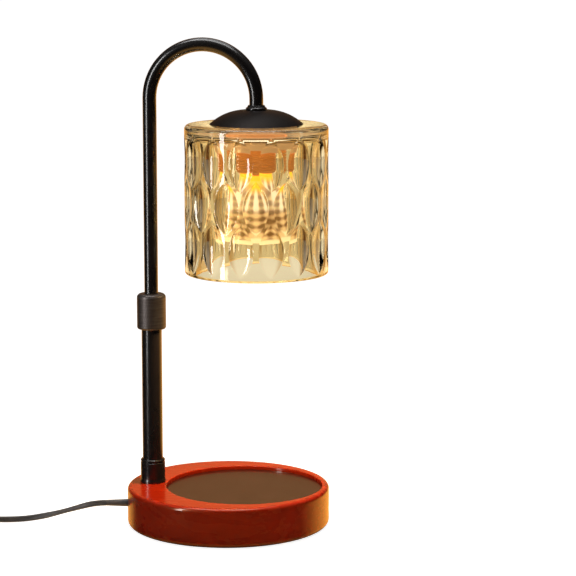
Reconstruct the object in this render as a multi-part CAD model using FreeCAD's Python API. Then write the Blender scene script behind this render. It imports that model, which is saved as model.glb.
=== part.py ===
import FreeCAD, Part
import math
import os
from FreeCAD import Vector

# A candle warmer lamp: a turned wooden base with a ballast plate, a telescoping post with a
# twist-lock collar, a cane-shaped arm, and a cut glass shade with a reflector bulb over the candle.
# Origin: centre of the base on the table. +X: from the post towards the shade. +Z: up.

# Base
base_radius = 65.0
base_top = 26.5
base_top_round = 2.6
base_bottom_round = 3.2
foot_height = 1.2
foot_radius = 5.5
foot_count = 4
foot_inset = 10.0
foot_chamfer = 0.4
base_wall = 8.0
base_roof = 5.0
cover_lip = 4.2
cover_thickness = 2.0
cover_screw_radius = 1.1
cover_screw_length = 8.0
cover_screw_count = 4
cover_screw_place = 1.9
cover_screw_clearance = 0.2
cover_screw_head = 2.0
cover_screw_head_height = 1.1
cover_sink_clearance = 0.1
recess_rim = 4.3
recess_from_ferrule = 1.4
recess_depth = 4.6
recess_edge_round = 0.5
seat_thickness = 2.4
seat_edge_round = 0.8
ballast_from_wall = 6.0
ballast_from_post = 24.5
ballast_thickness = 7.0
ballast_screw_inset = 8.0
ballast_screw_radius = 1.6
ballast_screw_count = 3
ballast_screw_head = 3.2
ballast_screw_head_height = 2.2
ballast_screw_depth = 3.0

# Post
post_inset = 15.5
post_radius = 6.5
post_wall = 1.2
post_top = 136.0
ferrule_radius = 7.9
ferrule_height = 15.5
ferrule_flare = 0.3
ferrule_foot = 1.2
ferrule_slope = 1.4
ferrule_chamfer = 0.6
groove_below_top = 2.4
groove_bevel = 0.3
groove_floor = 0.6
groove_depth = 0.35
plug_height = 13.0
nipple_radius = 4.0
nipple_bore = 2.5
nipple_below = 9.6
washer_radius = 6.4
washer_thickness = 1.2
nut_across = 11.0
nut_height = 4.0

# Collar and collet
collar_radius = 9.3
collar_bottom = 127.2
collar_height = 23.0
collar_round = 2.6
collar_bottom_round = 1.4
collet_length = 10.0
collet_slot = 1.2
collet_slots = 4
collet_slot_start = 2.5
collet_cone = 4.0
collet_lip = 0.9
collar_cone_over = 0.8
mouth_clearance = 0.15
mouth_bevel = 1.2
mouth_bevel_height = 0.6

# Arm
arm_radius = 4.4
arm_wall = 0.9
arm_bottom = 96.0
arch_radius = 34.15
arch_centre_z = 275.0
arm_end_z = 268.8
bush_length = 18.0
clip_height = 3.5
flex_start = 1.0
neck_radius = 6.4
neck_height = 3.2
neck_band = 1.8
neck_swell = 0.35
neck_taper = 0.5
neck_lip = 0.7

# Shade cap and holder
cap_radius = 29.6
cap_rise = 8.8
cap_thickness = 1.2
cap_flat = 10.0
cap_swell = 0.9
cap_inner_drop = 1.5
cap_rim_bevel = 0.3
cap_hole_play = 0.1
cap_washer_radius = 9.0
cap_washer_thickness = 1.2
cap_nut_across = 10.0
nipple_foot = 2.0
nipple_short = 0.6
flange_radius = 22.5
flange_thickness = 1.5
gasket_thickness = 0.5
barrel_radius = 18.4
barrel_bottom = 229.0
barrel_bore = 15.2
barrel_lead = 1.0
barrel_lead_depth = 0.6
thread_depth = 0.7
thread_pitch = 2.0
thread_top = 246.0
ring_radius = 26.0
ring_height = 8.0
holder_floor = 250.0
insert_bottom = 236.4
contact_spacing = 10.0
insert_bore_start = 9.0
pin_play = 0.6
pin_head_play = 0.3
ring_play = 0.1
ring_waist = 2.6
ring_taper = 0.8
ring_skirt = 4.6
ring_shoulder = 0.6
ring_notches = 12
ring_notch_radius = 1.6
ring_notch_out = 0.6
ring_notch_start = 5.0

# Bulb
bulb_radius = 25.0
bulb_front = 187.6
bulb_rim = 3.0
bulb_neck_z = 225.0
bulb_neck_radius = 11.8
bulb_base_top = 236.0
bulb_glass = 1.2
bulb_swell = 2.6
bulb_swell_up = 1.0
bulb_step = 0.8
bulb_inner_step = 0.6
lens_inset = 0.6
lens_bulge = 0.4
lens_thickness = 1.4
lens_dish = 0.2
base_collar = 3.0
base_bevel = 0.8
base_waist = 1.0
pin_radius = 1.5
pin_head_radius = 2.4
pin_length = 7.0
pin_head_height = 2.4
capsule_radius = 4.6
capsule_length = 20.0

# Glass shade
shade_radius = 45.5
shade_wall = 7.0
shade_bottom = 165.0
shade_height = 94.5
shade_top_plate = 6.0
shade_hole = 19.8
shade_top_round = 3.0
shade_rim_round = 1.2
shade_inner_round = 4.0
cut_count = 15
cut_depth = 2.6
cut_half_height = 16.3
cut_half_width = 8.0
cut_row_pitch = 26.6
cut_first_row = 19.4
cut_rows = 3
cut_facing = 278.0
wheel_margin = 3.0
wheel_pass = 2.0

# Cord
cord_diameter = 3.0
cord_heading = 188.0
cord_height = 14.0
relief_inside = 2.0
relief_outside = 14.0
relief_root = 2.4
relief_tip = 1.9
relief_flange = 0.4
relief_flange_gap = 0.4
relief_shoulder = 0.5
end_gap = 0.3
anchor_length = 7.0
anchor_clearance = 0.15
anchor_width = 7.0
anchor_from_end = 6.0
anchor_below = 3.2
cord_sides = 8
terminal_length = 16.0
terminal_width = 10.0
terminal_height = 8.0
terminal_inset = 15.0
terminal_y = -31.0
terminal_hole = 1.6
coil_mean_radius = 22.5
coil_pitch = 4.2
coil_layer_pitch = 3.6
coil_layers = 4
coil_layer_turns = 2.3125
coil_straight = 8.0
coil_out_straight = 3.0
coil_lead_in = 21.6
coil_lift = 0.02

# Dimmer and plug
dimmer_length = 54.0
dimmer_width = 24.0
dimmer_height = 15.0
dimmer_split = 5.5
dimmer_stub = 4.0
stub_root = 3.1
stub_tip = 2.5
dimmer_wall = 1.8
dimmer_corner = 5.0
dimmer_edge = 2.0
dimmer_side_gap = 1.8
dimmer_screw_inset = 6.0
dimmer_screw_radius = 1.2
dimmer_boss_radius = 2.6
board_thickness = 1.6
board_short = 16.0
dial_radius = 5.5
knob_radius = 8.5
knob_height = 3.4
knob_shaft = 2.4
knob_flutes = 14
knob_flute_radius = 1.1
knob_edge = 0.8
knob_flute_out = 0.5
knob_gap = 0.3
shaft_depth = 4.5
shaft_hole_play = 0.1
screw_reach = 4.5
screw_sink = 0.6
screw_hole_depth = 5.0
dial_below_top = 5.0
plug_length = 28.0
plug_width = 24.0
plug_thickness = 14.0
plug_relief = 12.0
blade_length = 16.0
blade_width = 6.35
blade_thickness = 1.5
blade_spacing = 12.7
plug_neck = 6.0
plug_waist_cut = 2.6
plug_shoulder = 5.0
plug_waist_at = 12.0
plug_swell_at = 18.0
plug_front = 4.0
plug_bulge = 0.6
plug_swell = 0.9
plug_sleeve_tip = 2.6
plug_sleeve_root = 3.6
plug_sleeve_lap = 0.5

# Clearances
running = 0.06
loose = 0.3

# Sizes that follow from the ones above
post_x = post_inset - base_radius
base_cavity_radius = base_radius - base_wall
cover_radius = base_cavity_radius + cover_lip
cover_screw_circle = base_cavity_radius + cover_screw_place
foot_circle = base_cavity_radius - foot_inset
recess_right = base_radius - recess_rim
recess_left = post_x + ferrule_radius + ferrule_flare + recess_from_ferrule
recess_radius = (recess_right - recess_left) / 2
recess_x = (recess_right + recess_left) / 2
ballast_right = base_cavity_radius - ballast_from_wall
ballast_left = post_x + ballast_from_post
ballast_radius = (ballast_right - ballast_left) / 2
ballast_x = (ballast_right + ballast_left) / 2
ballast_screw_circle = ballast_radius - ballast_screw_inset
relief_inner = base_cavity_radius - relief_inside
relief_outer = base_radius + relief_outside
terminal_x = terminal_inset - base_cavity_radius
recess_floor = base_top - recess_depth
cavity_top = recess_floor - base_roof
cover_top = foot_height + cover_thickness
arm_bore = arm_radius - arm_wall
post_bore = post_radius - post_wall
shade_x = post_x + 2.0 * arch_radius
shade_top = shade_bottom + shade_height
shade_inner = shade_radius - shade_wall
flange_bottom = shade_top + gasket_thickness
flange_top = flange_bottom + flange_thickness
cap_top = shade_top + cap_rise
ring_top = shade_top - shade_top_plate
ballast_top = cavity_top
flex_radius = min(arm_bore, nipple_bore) - 0.5
cord_section = math.pi * cord_diameter**2 / 4
cord_reach = math.sqrt(2 * cord_section / (cord_sides * math.sin(2 * math.pi / cord_sides)))

up = Vector(0, 0, 1)
parts = {}


def keep(name, shape):
    parts[name] = shape


def face(start, *steps):
    """A flat face in the XZ plane. A step is a point (r, z), or (middle, end) for an arc."""
    edges = []
    here = Vector(start[0], 0, start[1])
    for step in steps:
        if isinstance(step[0], tuple):
            middle = Vector(step[0][0], 0, step[0][1])
            end = Vector(step[1][0], 0, step[1][1])
            edges.append(Part.Arc(here, middle, end).toShape())
        else:
            end = Vector(step[0], 0, step[1])
            edges.append(Part.LineSegment(here, end).toShape())
        here = end
    first = Vector(start[0], 0, start[1])
    if here.distanceToPoint(first) > 1e-6:
        edges.append(Part.LineSegment(here, first).toShape())
    return Part.Face(Part.Wire(edges))


def spin(flat, x=0.0, y=0.0):
    """The face turned once round a vertical axis at x, y."""
    solid = flat.revolve(Vector(0, 0, 0), up, 360)
    solid.translate(Vector(x, y, 0))
    return solid


def rod(radius, low, high, x=0.0, y=0.0):
    return Part.makeCylinder(radius, high - low, Vector(x, y, low), up)


def tube(outer, inner, low, high, x=0.0, y=0.0):
    return spin(face((inner, low), (outer, low), (outer, high), (inner, high)), x, y)


def hexagon(across, low, high, bore, x):
    """A hexagon nut with a round bore."""
    corner = across / math.sqrt(3.0)
    points = [
        Vector(x + corner * math.cos(math.radians(60 * i)), corner * math.sin(math.radians(60 * i)), low)
        for i in range(7)
    ]
    solid = Part.Face(Part.makePolygon(points)).extrude(Vector(0, 0, high - low))
    return solid.cut(rod(bore, low - 1, high + 1, x))


def corner(cx, cz, radius, degrees):
    """A point on a rounding with its centre at cx, cz."""
    turn = math.radians(degrees)
    return (cx + radius * math.cos(turn), cz + radius * math.sin(turn))


def around(count, radius, first=0.0, x=0.0):
    """Places spaced evenly on a circle."""
    for i in range(count):
        turn = math.radians(first + 360.0 * i / count)
        yield x + radius * math.cos(turn), radius * math.sin(turn)


def group(solids):
    return Part.makeCompound(list(solids))


def along(u, v, z):
    """A point given along the cord's heading, to its side and up."""
    turn = math.radians(cord_heading)
    return Vector(
        u * math.cos(turn) - v * math.sin(turn), u * math.sin(turn) + v * math.cos(turn), z
    )


def turn_to_heading(shape):
    """Turns a shape made along +X, with its side along +Y, to the cord's heading."""
    shape.rotate(Vector(0, 0, 0), up, cord_heading)
    return shape


def block(length, width, low, high, u, v, rounding=0.0, side_rounding=0.0):
    """A box with its middle at u, v, with rounded upright corners and rounded long edges."""
    box = Part.makeBox(length, width, high - low, Vector(u - length / 2, v - width / 2, low))
    if rounding:
        upright = [e for e in box.Edges if abs(e.tangentAt(e.FirstParameter).z) > 0.9]
        box = box.makeFillet(rounding, upright)
    if side_rounding:
        rims = [e for e in box.Edges if abs(e.BoundBox.ZMax - high) < 1e-4 and e.BoundBox.ZLength < 1e-4]
        box = box.makeFillet(side_rounding, rims)
    return box


def is_rim(edge, radius, z):
    """Whether the edge is a whole circle of that radius at that height."""
    flat = edge.BoundBox.ZLength < 1e-4 and abs(edge.BoundBox.ZMax - z) < 1e-4
    return flat and abs(edge.Length - 2 * math.pi * radius) < 1e-3


# Base
def base_body():
    top, low = base_top, foot_height
    rt, rb = base_top_round, base_bottom_round
    rim = base_radius
    inner_top = cavity_top
    outline = face(
        (0, inner_top),
        (base_cavity_radius, inner_top),
        (base_cavity_radius, cover_top),
        (cover_radius + loose, cover_top),
        (cover_radius + loose, low),
        (rim - rb, low),
        (corner(rim - rb, low + rb, rb, -45), (rim, low + rb)),
        (rim, top - rt),
        (corner(rim - rt, top - rt, rt, 45), (rim - rt, top)),
        (0, top),
    )
    body = spin(outline)
    body = body.cut(rod(recess_radius, recess_floor, top + 1, recess_x))
    rims = [e for e in body.Edges if is_rim(e, recess_radius, top)]
    body = body.makeFillet(recess_edge_round, rims)
    body = body.cut(rod(nipple_radius + 0.2, inner_top - 1, top + 1, post_x))
    hole = Part.makeCylinder(
        relief_root + 0.1, base_wall + 6, Vector(base_cavity_radius - 3, 0, cord_height), Vector(1, 0, 0)
    )
    body = body.cut(turn_to_heading(hole))
    for x, y in around(cover_screw_count, cover_screw_circle, 45):
        body = body.cut(rod(cover_screw_radius, cover_top - 0.1, foot_height + cover_screw_length, x, y))
    for x, y in around(ballast_screw_count, ballast_screw_circle, 60, ballast_x):
        body = body.cut(rod(ballast_screw_radius, inner_top - 0.1, inner_top + ballast_screw_depth + 0.2, x, y))
    return body


def seat_disc():
    radius = recess_radius - loose / 2
    top = recess_floor + seat_thickness
    e = seat_edge_round
    outline = face(
        (0, recess_floor),
        (radius, recess_floor),
        (radius, top - e),
        (corner(radius - e, top - e, e, 45), (radius - e, top)),
        (0, top),
    )
    return spin(outline, recess_x)


def ballast():
    plate = rod(ballast_radius, ballast_top - ballast_thickness, ballast_top, ballast_x)
    for x, y in around(ballast_screw_count, ballast_screw_circle, 60, ballast_x):
        plate = plate.cut(rod(ballast_screw_radius + 0.2, 0, ballast_top + 1, x, y))
    return plate


def ballast_screws():
    low = ballast_top - ballast_thickness
    for x, y in around(ballast_screw_count, ballast_screw_circle, 60, ballast_x):
        head = rod(ballast_screw_head, low - ballast_screw_head_height, low, x, y)
        shank = rod(ballast_screw_radius, low - 0.1, ballast_top + ballast_screw_depth, x, y)
        yield head.fuse(shank).removeSplitter()


def bottom_cover():
    plate = rod(cover_radius, foot_height, cover_top)
    wide, narrow = cover_screw_head + cover_sink_clearance, cover_screw_radius + cover_screw_clearance
    sink_top = foot_height + cover_screw_head_height + cover_sink_clearance
    outline = face(
        (0, foot_height - 1),
        (wide, foot_height - 1),
        (wide, foot_height),
        (narrow, sink_top),
        (narrow, cover_top + 1),
        (0, cover_top + 1),
    )
    for x, y in around(cover_screw_count, cover_screw_circle, 45):
        plate = plate.cut(spin(outline, x, y))
    return plate


def cover_screws():
    for x, y in around(cover_screw_count, cover_screw_circle, 45):
        low = Vector(x, y, foot_height + 0.05)
        head = Part.makeCone(cover_screw_head, cover_screw_radius, cover_screw_head_height, low, up)
        yield head.fuse(rod(cover_screw_radius, foot_height + 1.0, foot_height + cover_screw_length, x, y))


def rubber_feet():
    r, e = foot_radius, foot_chamfer
    outline = face((0, 0), (r - e, 0), (r, e), (r, foot_height), (0, foot_height))
    for x, y in around(foot_count, foot_circle, 45):
        yield spin(outline, x, y)


keep("base_body", base_body())
keep("seat_disc", seat_disc())
keep("ballast_plate", ballast())
keep("ballast_screws", group(ballast_screws()))
keep("bottom_cover", bottom_cover())
keep("cover_screws", group(cover_screws()))
keep("rubber_feet", group(rubber_feet()))


# Post
def post_ferrule():
    r, top = ferrule_radius, base_top + ferrule_height
    groove_low = top - groove_below_top
    groove_high = groove_low + 2 * groove_bevel + groove_floor
    outline = face(
        (post_radius, base_top),
        (r + ferrule_flare, base_top),
        (r + ferrule_flare, base_top + ferrule_foot),
        (r, base_top + ferrule_foot + ferrule_slope),
        (r, groove_low),
        (r - groove_depth, groove_low + groove_bevel),
        (r - groove_depth, groove_high - groove_bevel),
        (r, groove_high),
        (r, top - ferrule_chamfer),
        (r - ferrule_chamfer, top),
        (post_radius, top),
    )
    return spin(outline, post_x)


keep("post_ferrule", post_ferrule())
keep("post_tube", tube(post_radius, post_bore, base_top, post_top, post_x))
keep("tube_plug", tube(post_bore, nipple_radius, base_top, base_top + plug_height, post_x))
keep("post_nipple", tube(nipple_radius, nipple_bore, nipple_below, base_top + plug_height, post_x))
washer_top = cavity_top
nut_top = washer_top - washer_thickness
keep("post_washer", tube(washer_radius, nipple_radius + 0.2, nut_top, washer_top, post_x))
keep("post_nut", hexagon(nut_across, nut_top - nut_height, nut_top, nipple_radius, post_x))


# Collar and collet
def collar_outline():
    r, e, b = collar_radius, collar_round, collar_bottom_round
    low, top = collar_bottom, collar_bottom + collar_height
    bore = post_radius + running
    mouth = arm_radius + mouth_clearance
    cone_low = post_top + collet_length - collet_cone
    cone_top = post_top + collet_length + collar_cone_over
    return face(
        (bore, low),
        (r - b, low),
        (corner(r - b, low + b, b, -45), (r, low + b)),
        (r, top - e),
        (corner(r - e, top - e, e, 45), (r - e, top)),
        (mouth, top),
        (mouth, cone_top + mouth_bevel_height),
        (mouth + mouth_bevel, cone_top),
        (bore, cone_low),
    )


def grip_collet():
    low, top = post_top, post_top + collet_length
    outer = post_radius - loose
    bore = arm_radius + running
    outline = face((bore, low), (outer, low), (outer, top - collet_cone), (bore + collet_lip, top), (bore, top))
    sleeve = spin(outline, post_x)
    for i in range(collet_slots // 2):
        slot = Part.makeBox(
            4 * outer, collet_slot, collet_length, Vector(-2 * outer, -collet_slot / 2, low + collet_slot_start)
        )
        slot.rotate(Vector(0, 0, 0), up, 45 + 360.0 * i / collet_slots)
        slot.translate(Vector(post_x, 0, 0))
        sleeve = sleeve.cut(slot)
    return sleeve


keep("lock_collar", spin(collar_outline(), post_x))
keep("grip_collet", grip_collet())


# Arm
def arm_tube():
    straight = tube(arm_radius, arm_bore, arm_bottom, arch_centre_z, post_x)
    ring = Part.Face(
        [
            Part.Wire(Part.makeCircle(arm_radius, Vector(post_x, 0, arch_centre_z), up)),
            Part.Wire(Part.makeCircle(arm_bore, Vector(post_x, 0, arch_centre_z), up)),
        ]
    )
    arch = ring.revolve(Vector(post_x + arch_radius, 0, arch_centre_z), Vector(0, 1, 0), 180)
    leg = tube(arm_radius, arm_bore, arm_end_z, arch_centre_z, shade_x)
    return straight.fuse([arch, leg]).removeSplitter()


def neck_ring():
    low, top = cap_top, cap_top + neck_height
    r = neck_radius
    outline = face(
        (arm_radius, low),
        (r, low),
        ((r + neck_swell, low + neck_band / 2), (r - neck_taper, low + neck_band)),
        (arm_radius + neck_lip, top),
        (arm_radius, top),
    )
    return spin(outline, shade_x)


def arm_flex():
    """The insulated lead inside the arm, on the tube's centre line."""
    r = flex_radius
    disc = Part.Face(Part.Wire(Part.makeCircle(r, Vector(post_x, 0, arch_centre_z), up)))
    arch = disc.revolve(Vector(post_x + arch_radius, 0, arch_centre_z), Vector(0, 1, 0), 180)
    rise = rod(r, arm_bottom + flex_start, arch_centre_z, post_x)
    drop = rod(r, holder_floor, arch_centre_z, shade_x)
    return rise.fuse([arch, drop]).removeSplitter()


keep("arm_tube", arm_tube())
keep("arm_end_clip", tube(post_bore - loose, arm_radius, arm_bottom, arm_bottom + clip_height, post_x))
bush_low = arm_bottom + clip_height + running
keep(
    "guide_bush",
    tube(post_bore - running, arm_radius + running, bush_low, bush_low + bush_length, post_x),
)
keep("neck_ring", neck_ring())
keep("arm_flex", arm_flex())


# Cap, holder and shade ring
def dome_cap():
    """A spun cap: flat in the middle, then one arc down to its rim on the glass."""
    t = cap_thickness

    def height(r):
        share = (r * r - cap_flat * cap_flat) / (cap_radius * cap_radius - cap_flat * cap_flat)
        return cap_top - cap_rise * share

    middle = (cap_radius + cap_flat) / 2
    crest = height(middle) + cap_swell
    hole = arm_bore + cap_hole_play
    outline = face(
        (hole, cap_top),
        (cap_flat, cap_top),
        ((middle, crest), (cap_radius, shade_top)),
        (cap_radius - t - cap_rim_bevel, shade_top),
        ((middle - t / 2, crest - cap_inner_drop), (cap_flat, cap_top - t)),
        (hole, cap_top - t),
    )
    return spin(outline, shade_x)


def lamp_holder():
    """A moulded barrel with an outer thread, open below, and a flange that sits on the glass."""
    steps = []
    z = barrel_bottom + barrel_lead
    while z + thread_pitch <= thread_top:
        steps.append((barrel_radius + thread_depth, z + thread_pitch / 2))
        steps.append((barrel_radius, z + thread_pitch))
        z += thread_pitch
    outline = face(
        (barrel_bore, barrel_bottom),
        (barrel_radius - barrel_lead_depth, barrel_bottom),
        (barrel_radius, barrel_bottom + barrel_lead),
        *steps,
        (barrel_radius, flange_bottom),
        (flange_radius, flange_bottom),
        (flange_radius, flange_top),
        (arm_bore, flange_top),
        (arm_bore, holder_floor),
        (barrel_bore, holder_floor),
    )
    return spin(outline, shade_x)


def holder_insert():
    """The ceramic block with the two twist-lock sockets."""
    plug = rod(barrel_bore, insert_bottom, holder_floor, shade_x)
    plug = plug.cut(rod(flex_radius + 0.1, insert_bottom + insert_bore_start, holder_floor + 1, shade_x))
    for side in (-1, 1):
        y = side * contact_spacing / 2
        deep = insert_bottom + pin_length + pin_play
        plug = plug.cut(rod(pin_head_radius + pin_head_play, insert_bottom - 1, deep, shade_x, y))
    return plug


def shade_ring():
    """The ring that screws up the barrel and clamps the glass, with grip notches round its skirt."""
    low = ring_top - ring_height
    bore = barrel_radius + thread_depth + ring_play
    ring = spin(
        face(
            (bore, low),
            (ring_radius - ring_waist, low),
            (ring_radius - ring_waist + ring_taper, low + ring_skirt),
            (ring_radius, low + ring_skirt + ring_shoulder),
            (ring_radius, ring_top),
            (bore, ring_top),
        ),
        shade_x,
    )
    for x, y in around(ring_notches, ring_radius + ring_notch_out, 0, shade_x):
        ring = ring.cut(rod(ring_notch_radius, low + ring_notch_start, ring_top + 1, x, y))
    return ring


keep("dome_cap", dome_cap())
nipple_low, nipple_high = holder_floor + nipple_foot, arch_centre_z - nipple_short
keep("arm_nipple", tube(arm_bore, flex_radius + 0.2, nipple_low, nipple_high, shade_x))
lock_top = cap_top - cap_thickness
washer_low = lock_top - cap_washer_thickness
keep("cap_washer", tube(cap_washer_radius, arm_bore + cap_hole_play, washer_low, lock_top, shade_x))
keep("cap_nut", hexagon(cap_nut_across, flange_top, washer_low, arm_bore, shade_x))
keep("lamp_holder", lamp_holder())
keep("holder_insert", holder_insert())
keep("shade_ring", shade_ring())
keep("shade_gasket", tube(flange_radius, barrel_radius, shade_top, flange_bottom, shade_x))


# Bulb
def bulb_shell():
    r, low = bulb_radius, bulb_front
    g = bulb_glass
    neck, top = bulb_neck_radius, bulb_neck_z
    out, height = (r + neck) / 2 + bulb_swell, (low + top) / 2 + bulb_swell_up
    shoulder, shoulder_z = r - bulb_step, low + bulb_rim + bulb_step
    outline = face(
        (r - g, low),
        (r, low),
        (r, low + bulb_rim),
        (shoulder, shoulder_z),
        ((out, height), (neck, top)),
        (neck - g, top),
        ((out - g, height - g), (shoulder - g, shoulder_z)),
        (r - g, low + bulb_rim - bulb_inner_step),
    )
    return spin(outline, shade_x)


def bulb_lens():
    r = bulb_radius - bulb_glass
    low = bulb_front + lens_inset
    high = low + lens_thickness
    front = ((r / 2, low - lens_bulge / 4), (r, low))
    return spin(face((0, low - lens_bulge), front, (r, high), (0, high - lens_dish)), shade_x)


def bulb_base():
    neck, low, top = bulb_neck_radius, bulb_neck_z, bulb_base_top
    outline = face(
        (0, low),
        (neck, low),
        (neck, low + base_collar),
        (neck - base_waist, low + base_collar + base_bevel),
        (neck - base_waist, top - base_waist),
        (neck - 2 * base_waist, top),
        (0, top),
    )
    return spin(outline, shade_x)


def bulb_pins():
    for side in (-1, 1):
        y = side * contact_spacing / 2
        head_low = bulb_base_top + pin_length - pin_head_height
        stem = rod(pin_radius, bulb_base_top, head_low, shade_x, y)
        yield stem.fuse(rod(pin_head_radius, head_low, bulb_base_top + pin_length, shade_x, y))


def bulb_capsule():
    """The small halogen capsule on the axis of the reflector."""
    low, top, r = bulb_neck_z - capsule_length, bulb_neck_z, capsule_radius
    outline = face((0, low), ((0.7 * r, low + 0.3 * r), (r, low + r)), (r, top - r), (0.75 * r, top), (0, top))
    return spin(outline, shade_x)


keep("bulb_reflector", bulb_shell())
keep("bulb_lens", bulb_lens())
keep("bulb_base", bulb_base())
keep("bulb_pins", group(bulb_pins()))
keep("bulb_capsule", bulb_capsule())


# Glass shade
def shade_blank():
    r, i = shade_radius, shade_inner
    low, top = shade_bottom, shade_top
    e, t, f = shade_rim_round, shade_top_round, shade_inner_round
    plate = top - shade_top_plate
    outline = face(
        (i, low + e),
        (corner(i + e, low + e, e, 225), (i + e, low)),
        (r - e, low),
        (corner(r - e, low + e, e, -45), (r, low + e)),
        (r, top - t),
        (corner(r - t, top - t, t, 45), (r - t, top)),
        (shade_hole, top),
        (shade_hole, plate),
        (i - f, plate),
        (corner(i - f, plate - f, f, 45), (i, plate - f)),
    )
    return spin(outline)


def cutting_wheel():
    """A wheel with a V edge, whose pass along the glass leaves one pointed oval hollow."""
    wheel = (cut_half_height**2 + cut_depth**2) / (2 * cut_depth)
    sag = shade_radius - math.sqrt(shade_radius**2 - cut_half_width**2)
    slope = (cut_depth - sag) / cut_half_width
    reach = cut_half_width + wheel_margin
    centre = shade_radius - cut_depth + wheel
    edge = wheel - slope * reach
    points = [
        Vector(centre, -reach, 0),
        Vector(centre - edge, -reach, 0),
        Vector(centre - wheel, 0, 0),
        Vector(centre - edge, reach, 0),
        Vector(centre, reach, 0),
        Vector(centre, -reach, 0),
    ]
    flat = Part.Face(Part.makePolygon(points))
    half_turn = math.degrees(math.asin(min(1.0, (cut_half_height + wheel_pass) / wheel)))
    sector = flat.revolve(Vector(centre, 0, 0), Vector(0, 1, 0), 2 * half_turn)
    sector.rotate(Vector(centre, 0, 0), Vector(0, 1, 0), -half_turn)
    return sector


def glass_shade():
    """A thick pressed glass drum, with staggered rows of pointed oval cuts."""
    glass = shade_blank()
    wheel = cutting_wheel()
    step = 360.0 / cut_count
    cuts = []
    for row in range(cut_rows):
        z = shade_bottom + cut_first_row + row * cut_row_pitch
        first = 0.0 if row % 2 else step / 2
        for i in range(cut_count):
            cut = wheel.copy()
            cut.translate(Vector(0, 0, z))
            cut.rotate(Vector(0, 0, 0), up, cut_facing + first + i * step)
            cuts.append(cut)
    glass = glass.cut(cuts)
    glass.translate(Vector(shade_x, 0, 0))
    return glass


keep("glass_shade", glass_shade())


# The cord's points: along its heading from the base's axis, to the side, and up.
inner_points = [
    (relief_inner - end_gap, 0.0, cord_height), (48.5, 1.0, cord_height), (42.0, 4.4, cord_height),
    (30.0, 13.4, cord_height),
]


# Wiring in the base
def terminal_block():
    low = cavity_top - terminal_height
    body = Part.makeBox(terminal_length, terminal_width, terminal_height, Vector(terminal_x, terminal_y, low))
    for share in (0.25, 0.75):
        x = terminal_x + share * terminal_length
        y = terminal_y + terminal_width / 2
        body = body.cut(rod(terminal_hole, low - 1, low + terminal_height / 2, x, y))
    return body


def cord_anchor():
    """A clamp under the roof, round the last straight run of the cord inside the base."""
    end, before = inner_points[-1], inner_points[-2]
    away = math.degrees(math.atan2(before[1] - end[1], before[0] - end[0]))
    clamp = Part.makeBox(
        anchor_length,
        anchor_width,
        cavity_top - cord_height + anchor_below,
        Vector(anchor_from_end - anchor_length / 2, -anchor_width / 2, cord_height - anchor_below),
    )
    bore = cord_reach + anchor_clearance
    hole = Part.makeCylinder(bore, 30, Vector(-5, 0, cord_height), Vector(1, 0, 0))
    clamp = clamp.cut(hole)
    clamp.rotate(Vector(0, 0, 0), up, away)
    clamp.translate(Vector(end[0], end[1], 0))
    return turn_to_heading(clamp)


def run_tube(points):
    """A round tube along straight runs joined by tangent arcs, with the radii it used."""
    edges = []
    radii = []
    here = points[0]
    for i in range(1, len(points) - 1):
        before = points[i] - points[i - 1]
        after = points[i + 1] - points[i]
        shorter = min(before.Length, after.Length)
        a = Vector(before).normalize()
        b = Vector(after).normalize()
        turn = a.getAngle(b)
        back = 0.45 * shorter
        radii.append(back / math.tan(turn / 2))
        start = points[i] - a * back
        end = points[i] + b * back
        inward = (b - a).normalize()
        depth = radii[-1] * (1 / math.cos(turn / 2) - 1)
        middle = points[i] + inward * depth
        edges.append(Part.LineSegment(here, start).toShape())
        edges.append(Part.Arc(start, middle, end).toShape())
        here = end
    edges.append(Part.LineSegment(here, points[-1]).toShape())
    path = Part.Wire(edges)
    return sweep(path), radii, path.Length


def sweep(path):
    """A faceted tube of the round cord's own section area."""
    start = path.Edges[0]
    first = start.valueAt(start.FirstParameter)
    ahead = start.tangentAt(start.FirstParameter).normalize()
    side = ahead.cross(up).normalize()
    over = side.cross(ahead)
    corners = []
    for i in range(cord_sides + 1):
        turn = 2 * math.pi * (i + 0.5) / cord_sides
        corners.append(first + side * (cord_reach * math.cos(turn)) + over * (cord_reach * math.sin(turn)))
    shell = Part.BRepOffsetAPI.MakePipeShell(path)
    shell.add(Part.makePolygon(corners))
    shell.build()
    shell.makeSolid()
    return shell.shape()


def keep_run(name, points):
    solid, radii, length = run_tube([along(*p) for p in points])
    print(name, "length %.1f" % length, "least radius %.1f" % min(radii),
          "volume share %.4f" % (solid.Volume / (cord_section * length)))
    keep(name, solid)
    return length


def strain_relief():
    """A slim moulded sleeve through the base wall, tapering along the cord."""
    outline = [
        (relief_inner, 0),
        (relief_inner, relief_root + relief_flange),
        (base_cavity_radius - relief_flange_gap, relief_root + relief_flange),
        (base_cavity_radius - relief_flange_gap, relief_root),
        (base_radius + relief_shoulder, relief_root),
        (relief_outer, relief_tip),
        (relief_outer, 0),
        (relief_inner, 0),
    ]
    flat = Part.Face(Part.makePolygon([Vector(u, 0, cord_height + r) for u, r in outline]))
    sleeve = flat.revolve(Vector(0, 0, cord_height), Vector(1, 0, 0), 360)
    return turn_to_heading(sleeve)


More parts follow.
